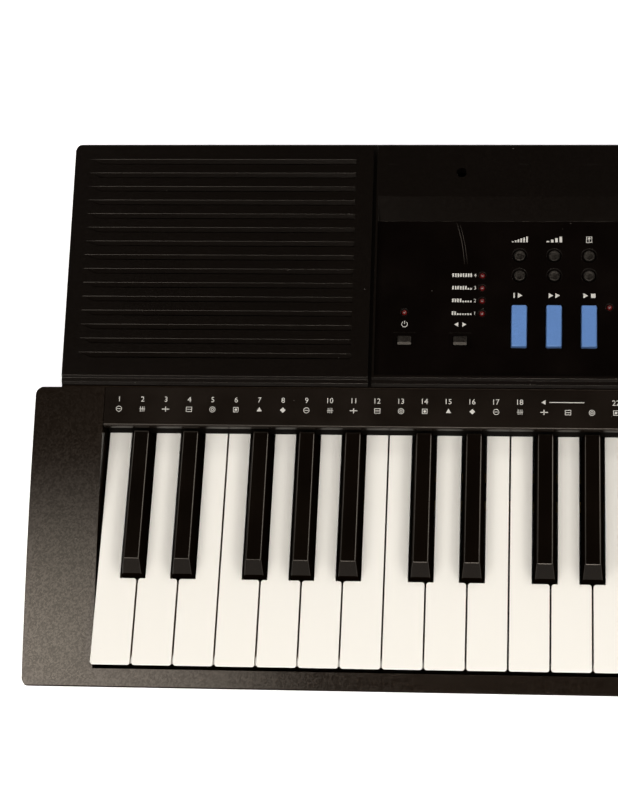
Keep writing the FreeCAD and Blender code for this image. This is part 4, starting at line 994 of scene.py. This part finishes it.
def make_key_lip(materials):
    """A thin dark matt strip below the front of the key strip, which stands in for the deep shade there."""
    made = bmesh.new()
    bmesh.ops.create_cube(made, size=1.0)
    size = Vector((2 * LIP_HALF, LIP_Y[1] - LIP_Y[0], LIP_Z[1] - LIP_Z[0]))
    middle = Vector((0, (LIP_Y[0] + LIP_Y[1]) / 2, (LIP_Z[0] + LIP_Z[1]) / 2))
    bmesh.ops.scale(made, vec=size, verts=made.verts)
    bmesh.ops.translate(made, vec=middle, verts=made.verts)
    bmesh.ops.bevel(made, geom=made.edges[:], offset=LIP_EDGE, segments=2, profile=0.5, affect="EDGES")
    mesh = bpy.data.meshes.new("key_shade_lip")
    made.to_mesh(mesh)
    made.free()
    mesh.materials.append(materials["shade_lip_matt"])
    piece = bpy.data.objects.new("key_shade_lip", mesh)
    bpy.context.scene.collection.objects.link(piece)
    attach(piece, "case")


# Light, floor and camera

def tent(tree, value, edge):
    """1 at the middle of a light, falling to edge at its rims."""
    off = add(tree, "ShaderNodeMath", {0: value, 1: 0.5}, operation="SUBTRACT").outputs[0]
    away = add(tree, "ShaderNodeMath", {0: off}, operation="ABSOLUTE").outputs[0]
    return between(tree, away, 1.0, edge, 0.0, 0.5)


def fade_light(tree):
    """Makes a soft box brightest in its middle."""
    tree.nodes.clear()
    spot = add(tree, "ShaderNodeNewGeometry").outputs["Parametric"]
    split = add(tree, "ShaderNodeSeparateXYZ", {"Vector": spot})
    across = tent(tree, split.outputs["X"], LIGHT_EDGE)
    along = tent(tree, split.outputs["Y"], 0.0)
    fall = add(tree, "ShaderNodeMath", {0: along, 1: LIGHT_FALL}, operation="POWER").outputs[0]
    glow = add(tree, "ShaderNodeEmission", {"Strength": times(tree, across, fall)})
    add(tree, "ShaderNodeOutputLight", {"Surface": glow.outputs["Emission"]})


def make_lights():
    """The soft boxes, which the camera doesn't see."""
    for name, (middle, size, power) in LIGHTS.items():
        light = bpy.data.lights.new(name, "AREA")
        light.shape = "RECTANGLE"
        light.size, light.size_y = size
        light.energy = power
        light.color = LIGHT_COLOUR
        light.use_nodes = True
        fade_light(light.node_tree)
        lamp = bpy.data.objects.new(name, light)
        lamp.location = middle
        lamp.visible_camera = False
        bpy.context.scene.collection.objects.link(lamp)


def make_sky():
    """A plain studio: bright near the horizon and dark overhead."""
    world = bpy.data.worlds.new("studio")
    world.use_nodes = True
    tree = world.node_tree
    tree.nodes.clear()
    way = add(tree, "ShaderNodeTexCoord").outputs["Generated"]
    height = add(tree, "ShaderNodeSeparateXYZ", {"Vector": way}).outputs["Z"]
    strength = between(tree, height, SKY_HORIZON, SKY_ZENITH, *SKY_FADE)
    glow = add(tree, "ShaderNodeBackground", {"Color": SKY_COLOUR, "Strength": strength})
    add(tree, "ShaderNodeOutputWorld", {"Surface": glow.outputs["Background"]})
    bpy.context.scene.world = world


def make_floor():
    """A wide white floor under the feet."""
    mesh = bpy.data.meshes.new("floor")
    half = FLOOR_SIZE / 2
    corners = [(-half, -half, 0), (half, -half, 0), (half, half, 0), (-half, half, 0)]
    mesh.from_pydata(corners, [], [(0, 1, 2, 3)])
    floor = bpy.data.objects.new("floor", mesh)
    bpy.context.scene.collection.objects.link(floor)
    made, tree = new_material("floor_white")
    surface(
        tree,
        Base_Color=FLOOR_COLOUR,
        Roughness=FLOOR_ROUGHNESS,
        Emission_Color=FLOOR_GLOW_COLOUR,
        Emission_Strength=FLOOR_GLOW,
    )
    mesh.materials.append(made)


def make_camera():
    """The camera of the photograph."""
    data = bpy.data.cameras.new("camera")
    data.lens = CAMERA_LENS
    data.sensor_fit = "VERTICAL"
    data.sensor_height = CAMERA_FRAME
    data.clip_start = CAMERA_NEAR
    camera = bpy.data.objects.new("camera", data)
    back = CAMERA_RIGHT.cross(CAMERA_UP)
    turned = Matrix((CAMERA_RIGHT, CAMERA_UP, back)).transposed().to_4x4()
    camera.matrix_world = Matrix.Translation(CAMERA_PLACE) @ turned
    bpy.context.scene.collection.objects.link(camera)
    bpy.context.scene.camera = camera


def main():
    """Finishes the CAD nodes and sets them in a studio."""
    bpy.context.scene.view_settings.view_transform = "Standard"
    materials = make_materials()
    finish_nodes(materials)
    print_strip(materials)
    print_panel(materials)
    draw_scratches(materials)
    make_key_lip(materials)
    make_lights()
    make_sky()
    make_floor()
    make_camera()


main()
